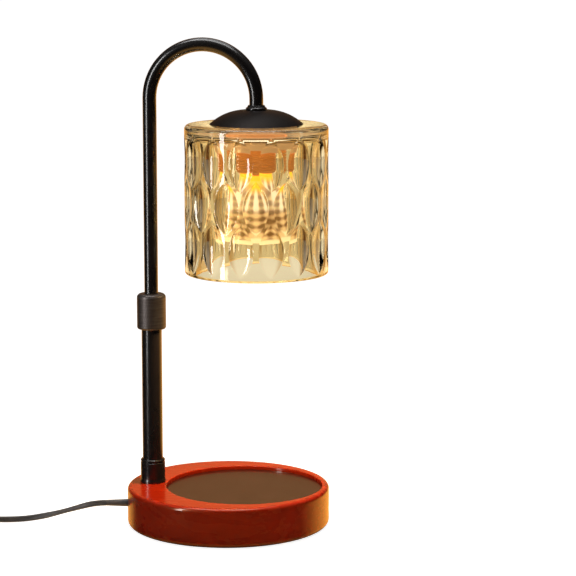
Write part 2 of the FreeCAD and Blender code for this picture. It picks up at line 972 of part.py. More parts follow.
lead_points = [
    (relief_outer, 0.0, cord_height), (87.0, -0.1, 13.7), (97.0, -0.6, 10.9), (109.0, -1.4, 7.4),
    (120.0, -2.4, 4.5), (131.0, -3.2, 2.4), (141.0, -3.5, 1.7), (150.0, -3.4, 1.8),
    (156.5, -3.1, 3.2), (162.0, -2.8, 4.9), (168.0, -2.6, dimmer_split),
]
dimmer_u = lead_points[-1][0] + dimmer_stub + dimmer_length / 2
dimmer_v = lead_points[-1][1]
dimmer_end = dimmer_u + dimmer_length / 2 + dimmer_stub
coil_start_u = dimmer_end + coil_lead_in
coil_out_radius = coil_mean_radius + coil_layer_turns * coil_pitch / 2
coil_u = coil_start_u - coil_out_radius
coil_v = dimmer_v - dimmer_width / 2 - dimmer_side_gap - coil_out_radius - cord_diameter / 2
coil_low = cord_diameter / 2 + coil_lift
mid_points = [
    (dimmer_end, dimmer_v, dimmer_split), (237.6, -3.0, 4.8), (244.2, -6.5, 3.4), (249.0, -12.6, 2.3),
    (251.1, -20.3, 1.75), (coil_start_u, -28.5, coil_low), (coil_start_u, coil_v + coil_straight, coil_low),
]
coil_top = coil_low + (coil_layers - 1) * coil_layer_pitch
tail_start_v = coil_v + coil_out_radius
tail_points = [
    (coil_u + coil_out_straight, tail_start_v, coil_top), (236.5, -19.0, 12.0), (246.0, -20.2, 10.4),
    (254.6, -23.8, 8.5), (261.0, -30.2, 7.3), (264.4, -38.4, 7.0), (265.0, -47.0, plug_thickness / 2),
]


def coil_stations():
    """Places and headings along the coil: spirals in and out, with a climb of a layer at each turn-back."""
    rows = []
    angle = 0.0
    layer_turn = 2 * math.pi * coil_layer_turns
    steps = math.ceil(coil_layer_turns * 4)
    inner = coil_out_radius - coil_layer_turns * coil_pitch

    def add(a, r, z, growth, rise):
        place = (coil_u + r * math.cos(a), coil_v + r * math.sin(a), z)
        heading = (growth * math.cos(a) - r * math.sin(a), growth * math.sin(a) + r * math.cos(a), rise)
        rows.append((place, heading))

    for layer in range(coil_layers):
        inwards = layer % 2 == 0
        start, stop = (coil_out_radius, inner) if inwards else (inner, coil_out_radius)
        z = coil_low + layer * coil_layer_pitch
        for i in range(steps + 1):
            share = i / steps
            growth = 0.0 if i in (0, steps) else (stop - start) / layer_turn
            add(-(angle + share * layer_turn), start + share * (stop - start), z, -growth, 0.0)
        angle += layer_turn
        if layer < coil_layers - 1:
            rise = coil_layer_pitch / math.pi * 1.5
            add(-(angle + math.pi / 2), stop, z + coil_layer_pitch / 2, 0.0, -rise)
            angle += math.pi
    return [(along(*p), -(along(*h))) for p, h in rows]


def biarc(p0, t0, p1, t1):
    """Two tangent arcs from one place and heading to the next."""
    v = p1 - p0
    t = t0 + t1
    a = 2 * (1 - t0.dot(t1))
    b = 2 * v.dot(t)
    c = -v.dot(v)
    if abs(a) < 1e-9:
        d = -c / b
    else:
        d = (-b + math.sqrt(b * b - 4 * a * c)) / (2 * a)
    joint = (p0 + t0 * d + p1 - t1 * d) * 0.5
    return [arc_from(p0, t0, joint), arc_from(joint, joint - (p0 + t0 * d), p1)]


def arc_from(p, heading, q):
    """The arc that leaves p along a heading and ends at q."""
    chord = q - p
    h = Vector(heading).normalize()
    side = chord - h * chord.dot(h)
    if side.Length < 1e-7:
        return Part.LineSegment(p, q).toShape()
    side.normalize()
    radius = chord.dot(chord) / (2 * chord.dot(side))
    centre = p + side * radius
    middle = centre + ((p + q) * 0.5 - centre).normalize() * radius
    return Part.Arc(p, middle, q).toShape()


def least_gap(path):
    """The least distance between turns that lie beside or on each other."""
    count = 1400
    points = path.discretize(Number=count)
    step = path.Length / count
    skip = int(2.2 * coil_mean_radius / step)
    least = 1e9
    for i in range(count):
        for j in range(i + skip, count, 1):
            d = points[i].distanceToPoint(points[j])
            if d < least:
                least = d
    return least - 2 * cord_reach


def cord_coil():
    stations = coil_stations()
    edges = []
    first, heading = stations[0]
    heading = Vector(heading).normalize()
    edges.append(Part.LineSegment(first - heading * coil_straight, first).toShape())
    for (p0, t0), (p1, t1) in zip(stations, stations[1:]):
        edges += biarc(p0, Vector(t0).normalize(), p1, Vector(t1).normalize())
    last, ahead = stations[-1]
    ahead = Vector(ahead).normalize()
    edges.append(Part.LineSegment(last, last + ahead * coil_out_straight).toShape())
    path = Part.Wire(edges)
    solid = sweep(path)
    print("cord_coil length %.1f" % path.Length,
          "volume share %.4f" % (solid.Volume / (cord_section * path.Length)),
          "least gap %.2f" % least_gap(path))
    keep("cord_coil", solid)
    return path.Length


keep("terminal_block", terminal_block())
keep("cord_anchor", cord_anchor())
keep("post_flex", rod(flex_radius, nipple_below + flex_start, base_top + plug_height, post_x))
keep("cord_strain_relief", strain_relief())
keep_run("cord_inner", inner_points)
total = keep_run("cord_lead", lead_points)
total += keep_run("cord_mid", mid_points)
total += cord_coil()
total += keep_run("cord_tail", tail_points)
print("cord from the sleeve to the plug, dimmer left out: %.0f" % total)


# Dimmer
def dimmer_shells():
    low = block(dimmer_length, dimmer_width, 0, dimmer_split, dimmer_u, dimmer_v, dimmer_corner)
    high = block(
        dimmer_length, dimmer_width, dimmer_split, dimmer_height, dimmer_u, dimmer_v, dimmer_corner, dimmer_edge
    )
    w = dimmer_wall
    inside = block(
        dimmer_length - 2 * w, dimmer_width - 2 * w, w, dimmer_height - w, dimmer_u, dimmer_v, dimmer_corner - w
    )
    low = low.cut(inside)
    high = high.cut(inside)
    for side in (-1, 1):
        end = Vector(dimmer_u + side * dimmer_length / 2, dimmer_v, dimmer_split)
        stub = Part.makeCone(stub_root, stub_tip, dimmer_stub, end, Vector(side, 0, 0))
        half = Part.makeBox(200, 200, 50, Vector(dimmer_u - 100, dimmer_v - 100, dimmer_split - 50))
        low = low.fuse(stub.common(half))
        high = high.fuse(stub.cut(half))
    high = high.cut(rod(knob_shaft + shaft_hole_play, dimmer_height - 4, dimmer_height + 1, dimmer_u, dimmer_v))
    for u in (-1, 1):
        x = dimmer_u + u * (dimmer_length / 2 - dimmer_screw_inset)
        low = low.fuse(rod(dimmer_boss_radius, w, dimmer_split, x, dimmer_v))
        low = low.cut(rod(dimmer_screw_radius + 0.1, -1, dimmer_split + 1, x, dimmer_v))
        high = high.fuse(rod(dimmer_boss_radius, dimmer_split, dimmer_height - w, x, dimmer_v))
        hole_top = dimmer_split + screw_hole_depth
        high = high.cut(rod(dimmer_screw_radius, dimmer_split - 1, hole_top, x, dimmer_v))
    return turn_to_heading(low), turn_to_heading(high)


def dimmer_screws():
    for u in (-1, 1):
        x = dimmer_u + u * (dimmer_length / 2 - dimmer_screw_inset)
        yield turn_to_heading(rod(dimmer_screw_radius, screw_sink, dimmer_split + screw_reach, x, dimmer_v))


def dimmer_wheel():
    low = dimmer_height + knob_gap
    cap = rod(knob_radius, low, low + knob_height, dimmer_u, dimmer_v)
    rim = [e for e in cap.Edges if abs(e.BoundBox.ZMin - low - knob_height) < 1e-6 and e.Length > 10]
    cap = cap.makeFillet(knob_edge, rim)
    for i in range(knob_flutes):
        turn = 2 * math.pi * i / knob_flutes
        x = dimmer_u + (knob_radius + knob_flute_out) * math.cos(turn)
        y = dimmer_v + (knob_radius + knob_flute_out) * math.sin(turn)
        cap = cap.cut(rod(knob_flute_radius, low - 1, low + knob_height + 1, x, y))
    shaft = rod(knob_shaft, dimmer_height - shaft_depth, low + knob_height / 2, dimmer_u, dimmer_v)
    return turn_to_heading(cap.fuse(shaft).removeSplitter())


def dimmer_board():
    """The circuit board with its dial control below the knob."""
    w = dimmer_wall
    top = w + board_thickness
    board = block(dimmer_length - 2 * w - board_short, dimmer_width - 2 * w - 1, w, top, dimmer_u, dimmer_v)
    dial = rod(dial_radius, top, dimmer_height - dial_below_top, dimmer_u, dimmer_v)
    return turn_to_heading(board.fuse(dial).removeSplitter())


low_shell, high_shell = dimmer_shells()
keep("dimmer_lower", low_shell)
keep("dimmer_upper", high_shell)
keep("dimmer_screws", group(dimmer_screws()))
keep("dimmer_wheel", dimmer_wheel())
keep("dimmer_board", dimmer_board())


# Plug
plug_u = tail_points[-1][0]
plug_start = tail_points[-1][1]


def plug_body():
    """A moulded flat plug with a waisted grip, its sleeve tapering to the cord."""
    v0 = plug_start - plug_relief
    v1 = v0 - plug_length
    half, waist, neck = plug_width / 2, plug_width / 2 - plug_waist_cut, plug_neck
    t = plug_thickness
    shoulder, narrow, wider, front = v0 - plug_shoulder, v0 - plug_waist_at, v0 - plug_swell_at, v1 + plug_front

    def p(side, v):
        return Vector(plug_u + side, v, 0)

    edges = [
        Part.LineSegment(p(-neck, v0), p(neck, v0)).toShape(),
        Part.Arc(p(neck, v0), p(waist + plug_bulge, shoulder), p(waist, narrow)).toShape(),
        Part.Arc(p(waist, narrow), p(waist + plug_swell, wider), p(half, front)).toShape(),
        Part.LineSegment(p(half, front), p(half, v1)).toShape(),
        Part.LineSegment(p(half, v1), p(-half, v1)).toShape(),
        Part.LineSegment(p(-half, v1), p(-half, front)).toShape(),
        Part.Arc(p(-half, front), p(-waist - plug_swell, wider), p(-waist, narrow)).toShape(),
        Part.Arc(p(-waist, narrow), p(-waist - plug_bulge, shoulder), p(-neck, v0)).toShape(),
    ]
    body = Part.Face(Part.Wire(edges)).extrude(Vector(0, 0, t))
    tip = Vector(plug_u, plug_start, t / 2)
    length = plug_relief + plug_sleeve_lap
    sleeve = Part.makeCone(plug_sleeve_tip, plug_sleeve_root, length, tip, Vector(0, -1, 0))
    return turn_to_heading(body.fuse(sleeve).removeSplitter())


def plug_blades():
    v1 = plug_start - plug_relief - plug_length
    for side in (-1, 1):
        blade = Part.makeBox(
            blade_thickness,
            blade_length,
            blade_width,
            Vector(
                plug_u + side * blade_spacing / 2 - blade_thickness / 2,
                v1 - blade_length,
                (plug_thickness - blade_width) / 2,
            ),
        )
        yield turn_to_heading(blade)


keep("plug_body", plug_body())
keep("plug_blades", group(plug_blades()))

os.makedirs("parts", exist_ok=True)
for name, shape in parts.items():
    if not shape.isValid():
        print("not valid:", name)
    shape.exportStep(os.path.join("parts", name + ".step"))
print(len(parts), "parts")
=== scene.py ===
"""Finishes, cut glass, glowing bulb and cord of a candle warmer lamp, around its solid parts."""

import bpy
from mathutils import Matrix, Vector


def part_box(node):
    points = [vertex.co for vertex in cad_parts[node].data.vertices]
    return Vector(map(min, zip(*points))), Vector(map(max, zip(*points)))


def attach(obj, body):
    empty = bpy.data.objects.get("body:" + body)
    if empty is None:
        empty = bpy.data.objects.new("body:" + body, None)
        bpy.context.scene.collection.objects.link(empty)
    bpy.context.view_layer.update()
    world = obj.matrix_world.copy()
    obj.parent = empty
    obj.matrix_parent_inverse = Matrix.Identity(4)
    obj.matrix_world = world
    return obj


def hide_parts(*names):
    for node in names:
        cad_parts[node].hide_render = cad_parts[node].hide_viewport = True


bl_info = {
    "name": "Candle warmer lamp",
    "version": (1, 0, 0),
    "blender": (4, 5, 0),
    "location": "3D View > Sidebar > Lamp",
    "description": "Finishes, cut glass, glowing bulb and cord of a candle warmer lamp",
    "category": "Object",
}

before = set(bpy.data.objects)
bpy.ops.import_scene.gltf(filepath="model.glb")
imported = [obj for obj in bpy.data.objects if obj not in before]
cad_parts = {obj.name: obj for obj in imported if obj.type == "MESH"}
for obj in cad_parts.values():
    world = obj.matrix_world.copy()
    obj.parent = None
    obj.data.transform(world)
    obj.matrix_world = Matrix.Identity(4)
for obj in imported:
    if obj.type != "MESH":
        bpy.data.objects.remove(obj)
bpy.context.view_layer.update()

import math

import bmesh
import bpy
from bpy.props import FloatProperty, FloatVectorProperty, PointerProperty
from mathutils import Vector

MM = 0.001
SHADE_LOW, SHADE_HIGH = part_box("glass_shade")
SHADE_AXIS = (SHADE_LOW + SHADE_HIGH) / 2
SHADE_RADIUS = (SHADE_HIGH.y - SHADE_LOW.y) / 2
BULB_LOW, BULB_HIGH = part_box("bulb_reflector")
BASE_LOW, BASE_TOP = (corner.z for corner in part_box("base_body"))

# The cord leaves the base along this heading, measured from +X
CORD_HEADING = math.radians(188.0)


def along(u, v, z):
    """A place given in millimetres along the cord's heading, to its side and up."""
    c, s = math.cos(CORD_HEADING), math.sin(CORD_HEADING)
    return Vector((u * c - v * s, u * s + v * c, z)) * MM


# Powers, sizes and colours that a user may change
class StageLook(bpy.types.PropertyGroup):
    """Camera, lamps and floor."""

    lens: FloatProperty(name="Lens", description="Focal length", default=140.5)
    key_power: FloatProperty(name="Key", description="Soft lamp on the left", default=1.3, unit="POWER")
    top_power: FloatProperty(name="Top", description="Soft lamp overhead", default=3.6, unit="POWER")
    strip_power: FloatProperty(name="Strip", description="Tall mirrored lamp", default=8.0, unit="POWER")
    bar_power: FloatProperty(name="Bar", description="Long bar overhead", default=6.0, unit="POWER")
    ambient: FloatProperty(name="Ambient", description="Light from all round", default=0.14)
    floor_tone: FloatProperty(name="Floor", description="The floor's brightness", default=0.8)


class BaseLook(bpy.types.PropertyGroup):
    """The lacquered base and the seat in it."""

    light_wood: FloatVectorProperty(
        name="Light grain", description="Between grain lines", subtype="COLOR", default=(0.52, 0.030, 0.004)
    )
    dark_wood: FloatVectorProperty(
        name="Dark grain", description="In the grain lines", subtype="COLOR", default=(0.47, 0.025, 0.0035)
    )
    seat: FloatVectorProperty(
        name="Seat", description="Lacquer of the seat", subtype="COLOR", default=(0.024, 0.008, 0.005)
    )


class MetalLook(bpy.types.PropertyGroup):
    """Post, arm, collar and cap."""

    black: FloatVectorProperty(
        name="Black", description="Lacquer of the tubes", subtype="COLOR", default=(0.011, 0.008, 0.007)
    )
    gloss: FloatProperty(name="Roughness", description="Roughness of the tubes", default=0.27)
    cap_gloss: FloatProperty(name="Cap roughness", description="Roughness of the cap", default=0.5)


class GlassLook(bpy.types.PropertyGroup):
    """The cut glass shade."""

    tint: FloatVectorProperty(
        name="Tint", description="Colour of the glass", subtype="COLOR", default=(0.90, 0.77, 0.50)
    )
    cut_depth: FloatProperty(name="Cut depth", description="Depth of a cut", default=2.6 * MM, unit="LENGTH")
    cut_half_height: FloatProperty(
        name="Cut half height", description="From a cut's middle to its tip", default=16.3 * MM, unit="LENGTH"
    )
    cut_half_width: FloatProperty(
        name="Cut half width", description="From a cut's middle to its side", default=8.0 * MM, unit="LENGTH"
    )
    row_pitch: FloatProperty(name="Row pitch", description="Between rows", default=26.6 * MM, unit="LENGTH")
    first_row: FloatProperty(name="First row", description="Above the rim", default=19.4 * MM, unit="LENGTH")
    hollow: FloatProperty(name="Hollow", description="1 for a V cut, 2 for a round one", default=2.0)


class BulbLook(bpy.types.PropertyGroup):
    """The lit bulb."""

    glow: FloatVectorProperty(
        name="Glow", description="Light near the neck", subtype="COLOR", default=(1.0, 0.95, 0.78)
    )
    strength: FloatProperty(name="Strength", description="Strength of the glow", default=1.25)
    lamp_power: FloatProperty(name="Lamp", description="Light on the base", default=0.42, unit="POWER")


class CordLook(bpy.types.PropertyGroup):
    """The flat twin cord."""

    width: FloatProperty(name="Width", description="Across both cores", default=3.8 * MM, unit="LENGTH")
    thickness: FloatProperty(name="Thickness", description="Across one core", default=2.4 * MM, unit="LENGTH")
    colour: FloatVectorProperty(
        name="Sheath", description="Colour of the sheath", subtype="COLOR", default=(0.085, 0.081, 0.082)
    )


class LampLooks(bpy.types.PropertyGroup):
    """All the looks of the lamp."""

    stage: PointerProperty(type=StageLook)
    base: PointerProperty(type=BaseLook)
    metal: PointerProperty(type=MetalLook)
    glass: PointerProperty(type=GlassLook)
    bulb: PointerProperty(type=BulbLook)
    cord: PointerProperty(type=CordLook)


# Node trees
class Wire:
    """One output of a node, which can be used in sums."""

    def __init__(self, tree, socket):
        self.tree = tree
        self.socket = socket

    def __add__(self, other):
        return self.tree.maths("ADD", self, other)

    def __sub__(self, other):
        return self.tree.maths("SUBTRACT", self, other)

    def __rsub__(self, other):
        return self.tree.maths("SUBTRACT", other, self)

    def __mul__(self, other):
        return self.tree.maths("MULTIPLY", self, other)

    def __truediv__(self, other):
        return self.tree.maths("DIVIDE", self, other)

    def __pow__(self, other):
        return self.tree.maths("POWER", self, other)

    def __mod__(self, other):
        return self.tree.maths("MODULO", self, other)

    def __abs__(self):
        return self.tree.maths("ABSOLUTE", self)

    def clamp(self):
        return self.tree.maths("ADD", self, 0.0, clamp=True)


class Node:
    """A node whose outputs are taken by name."""

    def __init__(self, tree, node):
        self.tree = tree
        self.node = node

    def __getitem__(self, name):
        found = next(s for s in self.node.outputs if s.enabled and s.name == name)
        return Wire(self.tree, found)


class Tree:
    """A node tree of a material, the world or a geometry modifier."""

    def __init__(self, tree):
        self.tree = tree

    def feed(self, socket, value):
        if isinstance(value, Wire):
            self.tree.links.new(value.socket, socket)
        else:
            socket.default_value = value

    def node(self, kind, values=None, **settings):
        """A node, with what its sockets take by name or number, and its settings."""
        made = self.tree.nodes.new(kind)
        for name, value in settings.items():
            setattr(made, name, value)
        for name, value in (values or {}).items():
            if isinstance(name, int):
                self.feed(made.inputs[name], value)
            else:
                self.feed(next(s for s in made.inputs if s.enabled and s.name == name), value)
        return Node(self, made)

    def maths(self, operation, *values, clamp=False):
        sockets = dict(enumerate(values))
        return self.node("ShaderNodeMath", sockets, operation=operation, use_clamp=clamp)["Value"]

    def vector(self, operation, a, b=(0, 0, 0)):
        return self.node("ShaderNodeVectorMath", {0: a, 1: b}, operation=operation)["Vector"]

    def dot(self, a, b):
        return self.node("ShaderNodeVectorMath", {0: a, 1: b}, operation="DOT_PRODUCT")["Value"]

    def parts(self, vector):
        """A vector's X, Y and Z, as outputs of one node."""
        return self.node("ShaderNodeSeparateXYZ", {"Vector": vector})

    def mix(self, share, a, b, blend="MIX"):
        a = a if isinstance(a, Wire) else (*a, 1.0)
        b = b if isinstance(b, Wire) else (*b, 1.0)
        values = {"Factor": share, "A": a, "B": b}
        return self.node("ShaderNodeMix", values, data_type="RGBA", blend_type=blend)["Result"]

    def ramp(self, value, low, high, to_low=0.0, to_high=1.0):
        values = {"Value": value, "From Min": low, "From Max": high, "To Min": to_low, "To Max": to_high}
        return self.node("ShaderNodeMapRange", values, interpolation_type="SMOOTHSTEP")["Result"]

    def place(self):
        return self.node("ShaderNodeTexCoord")["Object"]

    def noise(self, scale, detail=3.0, vector=None, roughness=0.5):
        values = {"Vector": vector or self.place(), "Scale": scale, "Detail": detail, "Roughness": roughness}
        return self.node("ShaderNodeTexNoise", values)["Fac"]

    def bump(self, height, distance, strength=1.0):
        values = {"Height": height, "Distance": distance, "Strength": strength}
        return self.node("ShaderNodeBump", values)["Normal"]


def finish(name, values):
    """A new material: its tree, and what its main shader's sockets take."""
    material = bpy.data.materials.new(name)
    material.use_nodes = True
    tree = Tree(material.node_tree)
    shader = material.node_tree.nodes["Principled BSDF"]
    for socket, value in values(tree).items():
        if not isinstance(value, (Wire, float)) and len(value) == 3:
            value = (*value, 1.0)
        tree.feed(shader.inputs[socket], value)
    return material


# Finishes, and the heights at which painted shade on the base, the bulb's glow and the holder's colour change
# Painted shade: the base's side below the top is darker and warmer than the top.
SIDE_SHADE = (0.64, 0.54, 0.35)
SIDE_SHADE_START, SIDE_SHADE_END = 3.5 * MM, 0.5 * MM
# Painted shade: the lowest few millimetres of the base get a dark diffuse colour in place of the gloss.
PAINTED_SHADE_EDGE = (0.10, 0.012, 0.002, 1.0)
PAINTED_SHADE_EDGE_START, PAINTED_SHADE_EDGE_END = 0.5 * MM, 3.5 * MM
BULB_FACETS = 9
BULB_ROW_PITCH = 5.5 * MM
BULB_RIM = (2.2 * MM, 4.4 * MM)
BULB_GLOW = (16 * MM, 22 * MM)
BULB_TIP = 6 * MM
HOLDER_COLOUR_EDGE = 0.5 * MM


def lacquered_wood(look):
    """A turned wooden base: stain that gathers in the grain under clear lacquer, painted shade on its side
    and on its lower edge, which is dark and without gloss.
    """

    def values(t):
        bend = t.node("ShaderNodeTexNoise", {"Vector": t.place(), "Scale": 9.0, "Detail": 1.0})["Color"]
        stretched = t.vector("MULTIPLY", t.place(), (0.35, 3.2, 3.2))
        bent = t.vector("ADD", stretched, t.vector("MULTIPLY", bend, (0.0, 0.05, 0.05)))
        rings = t.noise(38.0, 4.0, bent, 0.6)
        pores = t.noise(420.0, 2.0, t.vector("MULTIPLY", t.place(), (0.12, 1.0, 1.0)))
        grain = (t.ramp(rings, 0.3, 0.72) * 0.6 + t.ramp(pores, 0.45, 0.75) * 0.15).clamp()
        stain = t.mix(grain, look.light_wood, look.dark_wood)
        # Painted shade: below the top, the side's stain is multiplied by SIDE_SHADE, darker and warmer.
        top = t.ramp(t.parts(t.place())["Z"], BASE_TOP - SIDE_SHADE_START, BASE_TOP - SIDE_SHADE_END)
        return {
            "Base Color": t.mix(top, t.mix(1.0, stain, SIDE_SHADE, "MULTIPLY"), stain),
            "Roughness": t.ramp(rings, 0.3, 0.7, 0.30, 0.24),
            "Specular Tint": (1.0, 0.62, 0.35),
            "Coat Weight": 0.6,
            "Coat Roughness": 0.08,
            "Coat Tint": (1.0, 0.72, 0.45),
            "Normal": t.bump(rings + pores * 0.3, 0.005 * MM, 0.3),
        }

    material = finish("Lacquered wood", values)
    nodes = material.node_tree.nodes
    t = Tree(material.node_tree)
    # Painted shade along the bottom edge: the dark diffuse shader replaces the gloss there.
    painted_shade_share = 1 - t.ramp(t.parts(t.place())["Z"], BASE_LOW + PAINTED_SHADE_EDGE_START, BASE_LOW + PAINTED_SHADE_EDGE_END)
    dull = t.node("ShaderNodeBsdfDiffuse", {"Color": PAINTED_SHADE_EDGE})["BSDF"]
    gloss = Wire(t, nodes["Principled BSDF"].outputs["BSDF"])
    both = t.node("ShaderNodeMixShader", {0: painted_shade_share, 1: gloss, 2: dull})["Shader"]
    t.feed(nodes["Material Output"].inputs["Surface"], both)
    return material


def seat_lacquer(look):
    """Dark lacquer with a little dust in it."""

    def values(t):
        cloud = t.noise(60.0, 4.0)
        dust = t.noise(900.0, 1.0)
        return {
            "Base Color": t.mix(t.ramp(cloud, 0.3, 0.7), look.seat, [c * 1.5 for c in look.seat]),
            "Roughness": t.ramp(cloud, 0.2, 0.8, 0.16, 0.26),
            "Specular IOR Level": 0.25,
            "Coat Weight": 0.25,
            "Coat Roughness": 0.1,
            "Normal": t.bump(dust, 0.02 * MM, 0.4),
        }

    return finish("Seat lacquer", values)


def black_lacquer(look):
    """Satin black on drawn tube, with the faint ripple of sprayed lacquer."""

    def values(t):
        ripple = t.noise(260.0, 2.0)
        cloud = t.noise(35.0, 3.0)
        return {
            "Base Color": t.mix(t.ramp(cloud, 0.3, 0.7), look.black, [c * 1.6 for c in look.black]),
            "Roughness": t.ramp(cloud, 0.2, 0.8, look.gloss - 0.03, look.gloss + 0.03),
            "Coat Weight": 0.5,
            "Coat Roughness": 0.16,
            "Normal": t.bump(ripple, 0.001 * MM, 0.3),
        }

    return finish("Black lacquer", values)


def satin_collar():
    """Satin black on turned aluminium, brushed round."""

    def values(t):
        brushed = t.noise(500.0, 2.0, t.vector("MULTIPLY", t.place(), (0.2, 0.2, 3.0)))
        return {
            "Base Color": t.mix(t.ramp(brushed, 0.3, 0.7), (0.10, 0.086, 0.082), (0.14, 0.122, 0.116)),
            "Roughness": t.ramp(brushed, 0.2, 0.8, 0.42, 0.50),
            "Metallic": 0.85,
            "Normal": t.bump(brushed, 0.01 * MM, 0.5),
        }

    return finish("Satin collar", values)


def matt_black(look):
    """Powder coat, dull and finely pebbled."""

    def values(t):
        pebble = t.noise(1500.0, 2.0)
        cloud = t.noise(40.0, 2.0)
        return {
            "Base Color": t.mix(t.ramp(cloud, 0.3, 0.7), (0.013, 0.010, 0.009), (0.019, 0.015, 0.013)),
            "Roughness": t.ramp(cloud, 0.2, 0.8, look.cap_gloss - 0.05, look.cap_gloss + 0.07),
            "Specular IOR Level": 0.12,
            "Specular Tint": (1.0, 0.86, 0.80),
            "Normal": t.bump(pebble, 0.04 * MM, 0.5),
        }

    return finish("Matt black", values)


def moulded(
    name, colour, roughness, pebble=900.0, metallic=0.0, depth=0.03 * MM, shift=1.25, coat=0.0, glow=0.0
):
    """A moulded, cast or plated finish: its colour drifts a little, its grain is fine and it may glow with
    painted light.
    """

    def values(t):
        cloud = t.ramp(t.noise(30.0, 3.0), 0.3, 0.7)
        grain = t.noise(pebble, 2.0)
        return {
            "Base Color": t.mix(cloud, colour, [min(1.0, c * shift) for c in colour]),
            "Roughness": t.ramp(grain, 0.25, 0.75, roughness - 0.04, roughness + 0.05),
            "Metallic": metallic,
            "Coat Weight": coat,
            "Emission Color": colour,
            "Emission Strength": glow,
            "Normal": t.bump(grain, depth, 0.5),
        }

    return finish(name, values)


def plated_steel():
    """Zinc on turned steel: fine rings from the lathe and patchy brightness."""

    def values(t):
        rings = t.noise(700.0, 2.0, t.vector("MULTIPLY", t.place(), (0.15, 0.15, 1.6)))
        cloud = t.noise(45.0, 3.0)
        return {
            "Base Color": t.mix(t.ramp(cloud, 0.3, 0.7), (0.52, 0.50, 0.47), (0.70, 0.69, 0.66)),
            "Roughness": t.ramp(rings, 0.25, 0.75, 0.22, 0.38),
            "Metallic": 1.0,
            "Normal": t.bump(rings, 0.02 * MM, 0.5),
        }

    return finish("Plated steel", values)


def circuit_board():
    """Green mask over straight copper tracks."""

    def values(t):
        tracks = t.node("ShaderNodeTexBrick", {
            "Vector": t.place(), "Scale": 260.0, "Mortar Size": 0.06,
            "Color1": (0, 0, 0, 1), "Color2": (0, 0, 0, 1), "Mortar": (1, 1, 1, 1),
        })["Fac"]
        return {
            "Base Color": t.mix(tracks, (0.02, 0.16, 0.06), (0.05, 0.30, 0.12)),
            "Roughness": 0.32,
            "Coat Weight": 0.4,
            "Normal": t.bump(tracks, 0.03 * MM, 0.6),
        }

    return finish("Circuit board", values)


def cord_sheath(look):
    """Soft grey sheath with the slight cross marks of its extruder."""

    def values(t):
        cloud = t.noise(90.0, 3.0)
        fine = t.noise(1400.0, 2.0)
        return {
            "Base Color": t.mix(t.ramp(cloud, 0.3, 0.7), look.colour, [c * 1.5 for c in look.colour]),
            "Roughness": t.ramp(cloud, 0.2, 0.8, 0.42, 0.52),
            "Normal": t.bump(fine, 0.03 * MM, 0.5),
        }

    return finish("Cord sheath", values)


def shade_glass(look):
    """Pressed glass, pale champagne, with the faint waves of the mould."""

    def values(t):
        waves = t.noise(55.0, 2.0)
        return {
            "Base Color": tuple(look.tint),
            "Roughness": 0.0,
            "IOR": 1.5,
            "Transmission Weight": 1.0,
            "Normal": t.bump(waves, 0.4 * MM, 0.25),
        }

    return finish("Shade glass", values)


def lit_reflector(look):
    """Coated glass with facets, lit from inside: bright near the neck and the rim, amber between."""

    def values(t):
        parts = t.parts(t.vector("SUBTRACT", t.place(), (SHADE_AXIS.x, SHADE_AXIS.y, 0)))
        height = parts["Z"]
        low, high = BULB_LOW.z, BULB_HIGH.z
        turn = t.maths("ARCTAN2", parts["Y"], parts["X"]) - CUT_FACING
        facets = t.maths("COSINE", turn * float(BULB_FACETS))
        rows = t.maths("COSINE", height * (2 * math.pi / BULB_ROW_PITCH))
        rim = 1 - t.ramp(height, low + BULB_RIM[0], low + BULB_RIM[1])
        checks = t.ramp(facets + rows + t.noise(70.0, 3.0), -1.0, 2.2)
        bowl = t.mix(checks, (0.10, 0.04, 0.012), (0.85, 0.58, 0.30))
        streaks = facets + t.noise(260.0, 2.0, t.vector("MULTIPLY", t.place(), (1.0, 1.0, 0.12)))
        hot = t.ramp(height, low + BULB_GLOW[0], low + BULB_GLOW[1]) * t.ramp(streaks, 0.2, 1.2, 0.18, 1.0)
        tip = t.ramp(height, high - BULB_TIP, high)
        lit_bowl = t.mix(tip, t.mix(hot, bowl, look.glow), (1.0, 0.62, 0.06))
        glow = t.mix(rim, lit_bowl, (1.0, 0.93, 0.60))
        return {
            "Base Color": (0.9, 0.72, 0.42),
            "Roughness": 0.25,
            "Emission Color": glow,
            "Emission Strength": look.strength,
            "Coat Weight": 0.5,
        }

    return finish("Lit reflector", values)


def holder_finish():
    """Amber plastic with a copper coloured part above the shade's inside, both glowing with painted light
    from the bulb.
    """

    def values(t):
        height = t.parts(t.place())["Z"]
        plate = SHADE_HIGH.z - TOP_PLATE
        upper = t.ramp(height, plate - HOLDER_COLOUR_EDGE, plate)
        grain = t.noise(500.0, 2.0)
        colour = t.mix(upper, t.mix(grain, (0.84, 0.34, 0.08), (0.94, 0.42, 0.12)), (0.95, 0.62, 0.36))
        return {
            "Base Color": colour,
            "Roughness": t.ramp(grain, 0.25, 0.75, 0.30, 0.39),
            "Coat Weight": 0.3,
            # Painted light: the holder glows in its own colour, standing for the bulb's light on it.
            "Emission Color": colour,
            "Emission Strength": 0.3,
            "Normal": t.bump(grain, 0.02 * MM, 0.5),
        }

    return finish("Holder plastic", values)


def lit(name, colour, strength):
    """Glass or ceramic that glows, a little unevenly."""

    def values(t):
        cloud = t.ramp(t.noise(120.0, 2.0), 0.3, 0.7)
        return {
            "Base Color": colour,
            "Roughness": 0.3,
            "Emission Color": t.mix(cloud, colour, [min(1.0, c * 1.1) for c in colour]),
            "Emission Strength": strength,
        }

    return finish(name, values)


def dress(material, slot, *nodes):
    """Gives CAD nodes a finish."""
    for name in nodes:
        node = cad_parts[name]
        for place in node.material_slots:
            place.material = material


# Meshes
def add_object(name, data):
    """An object in the scene with this mesh, curve, lamp or camera."""
    made = bpy.data.objects.new(name, data)
    bpy.context.scene.collection.objects.link(made)
    return made


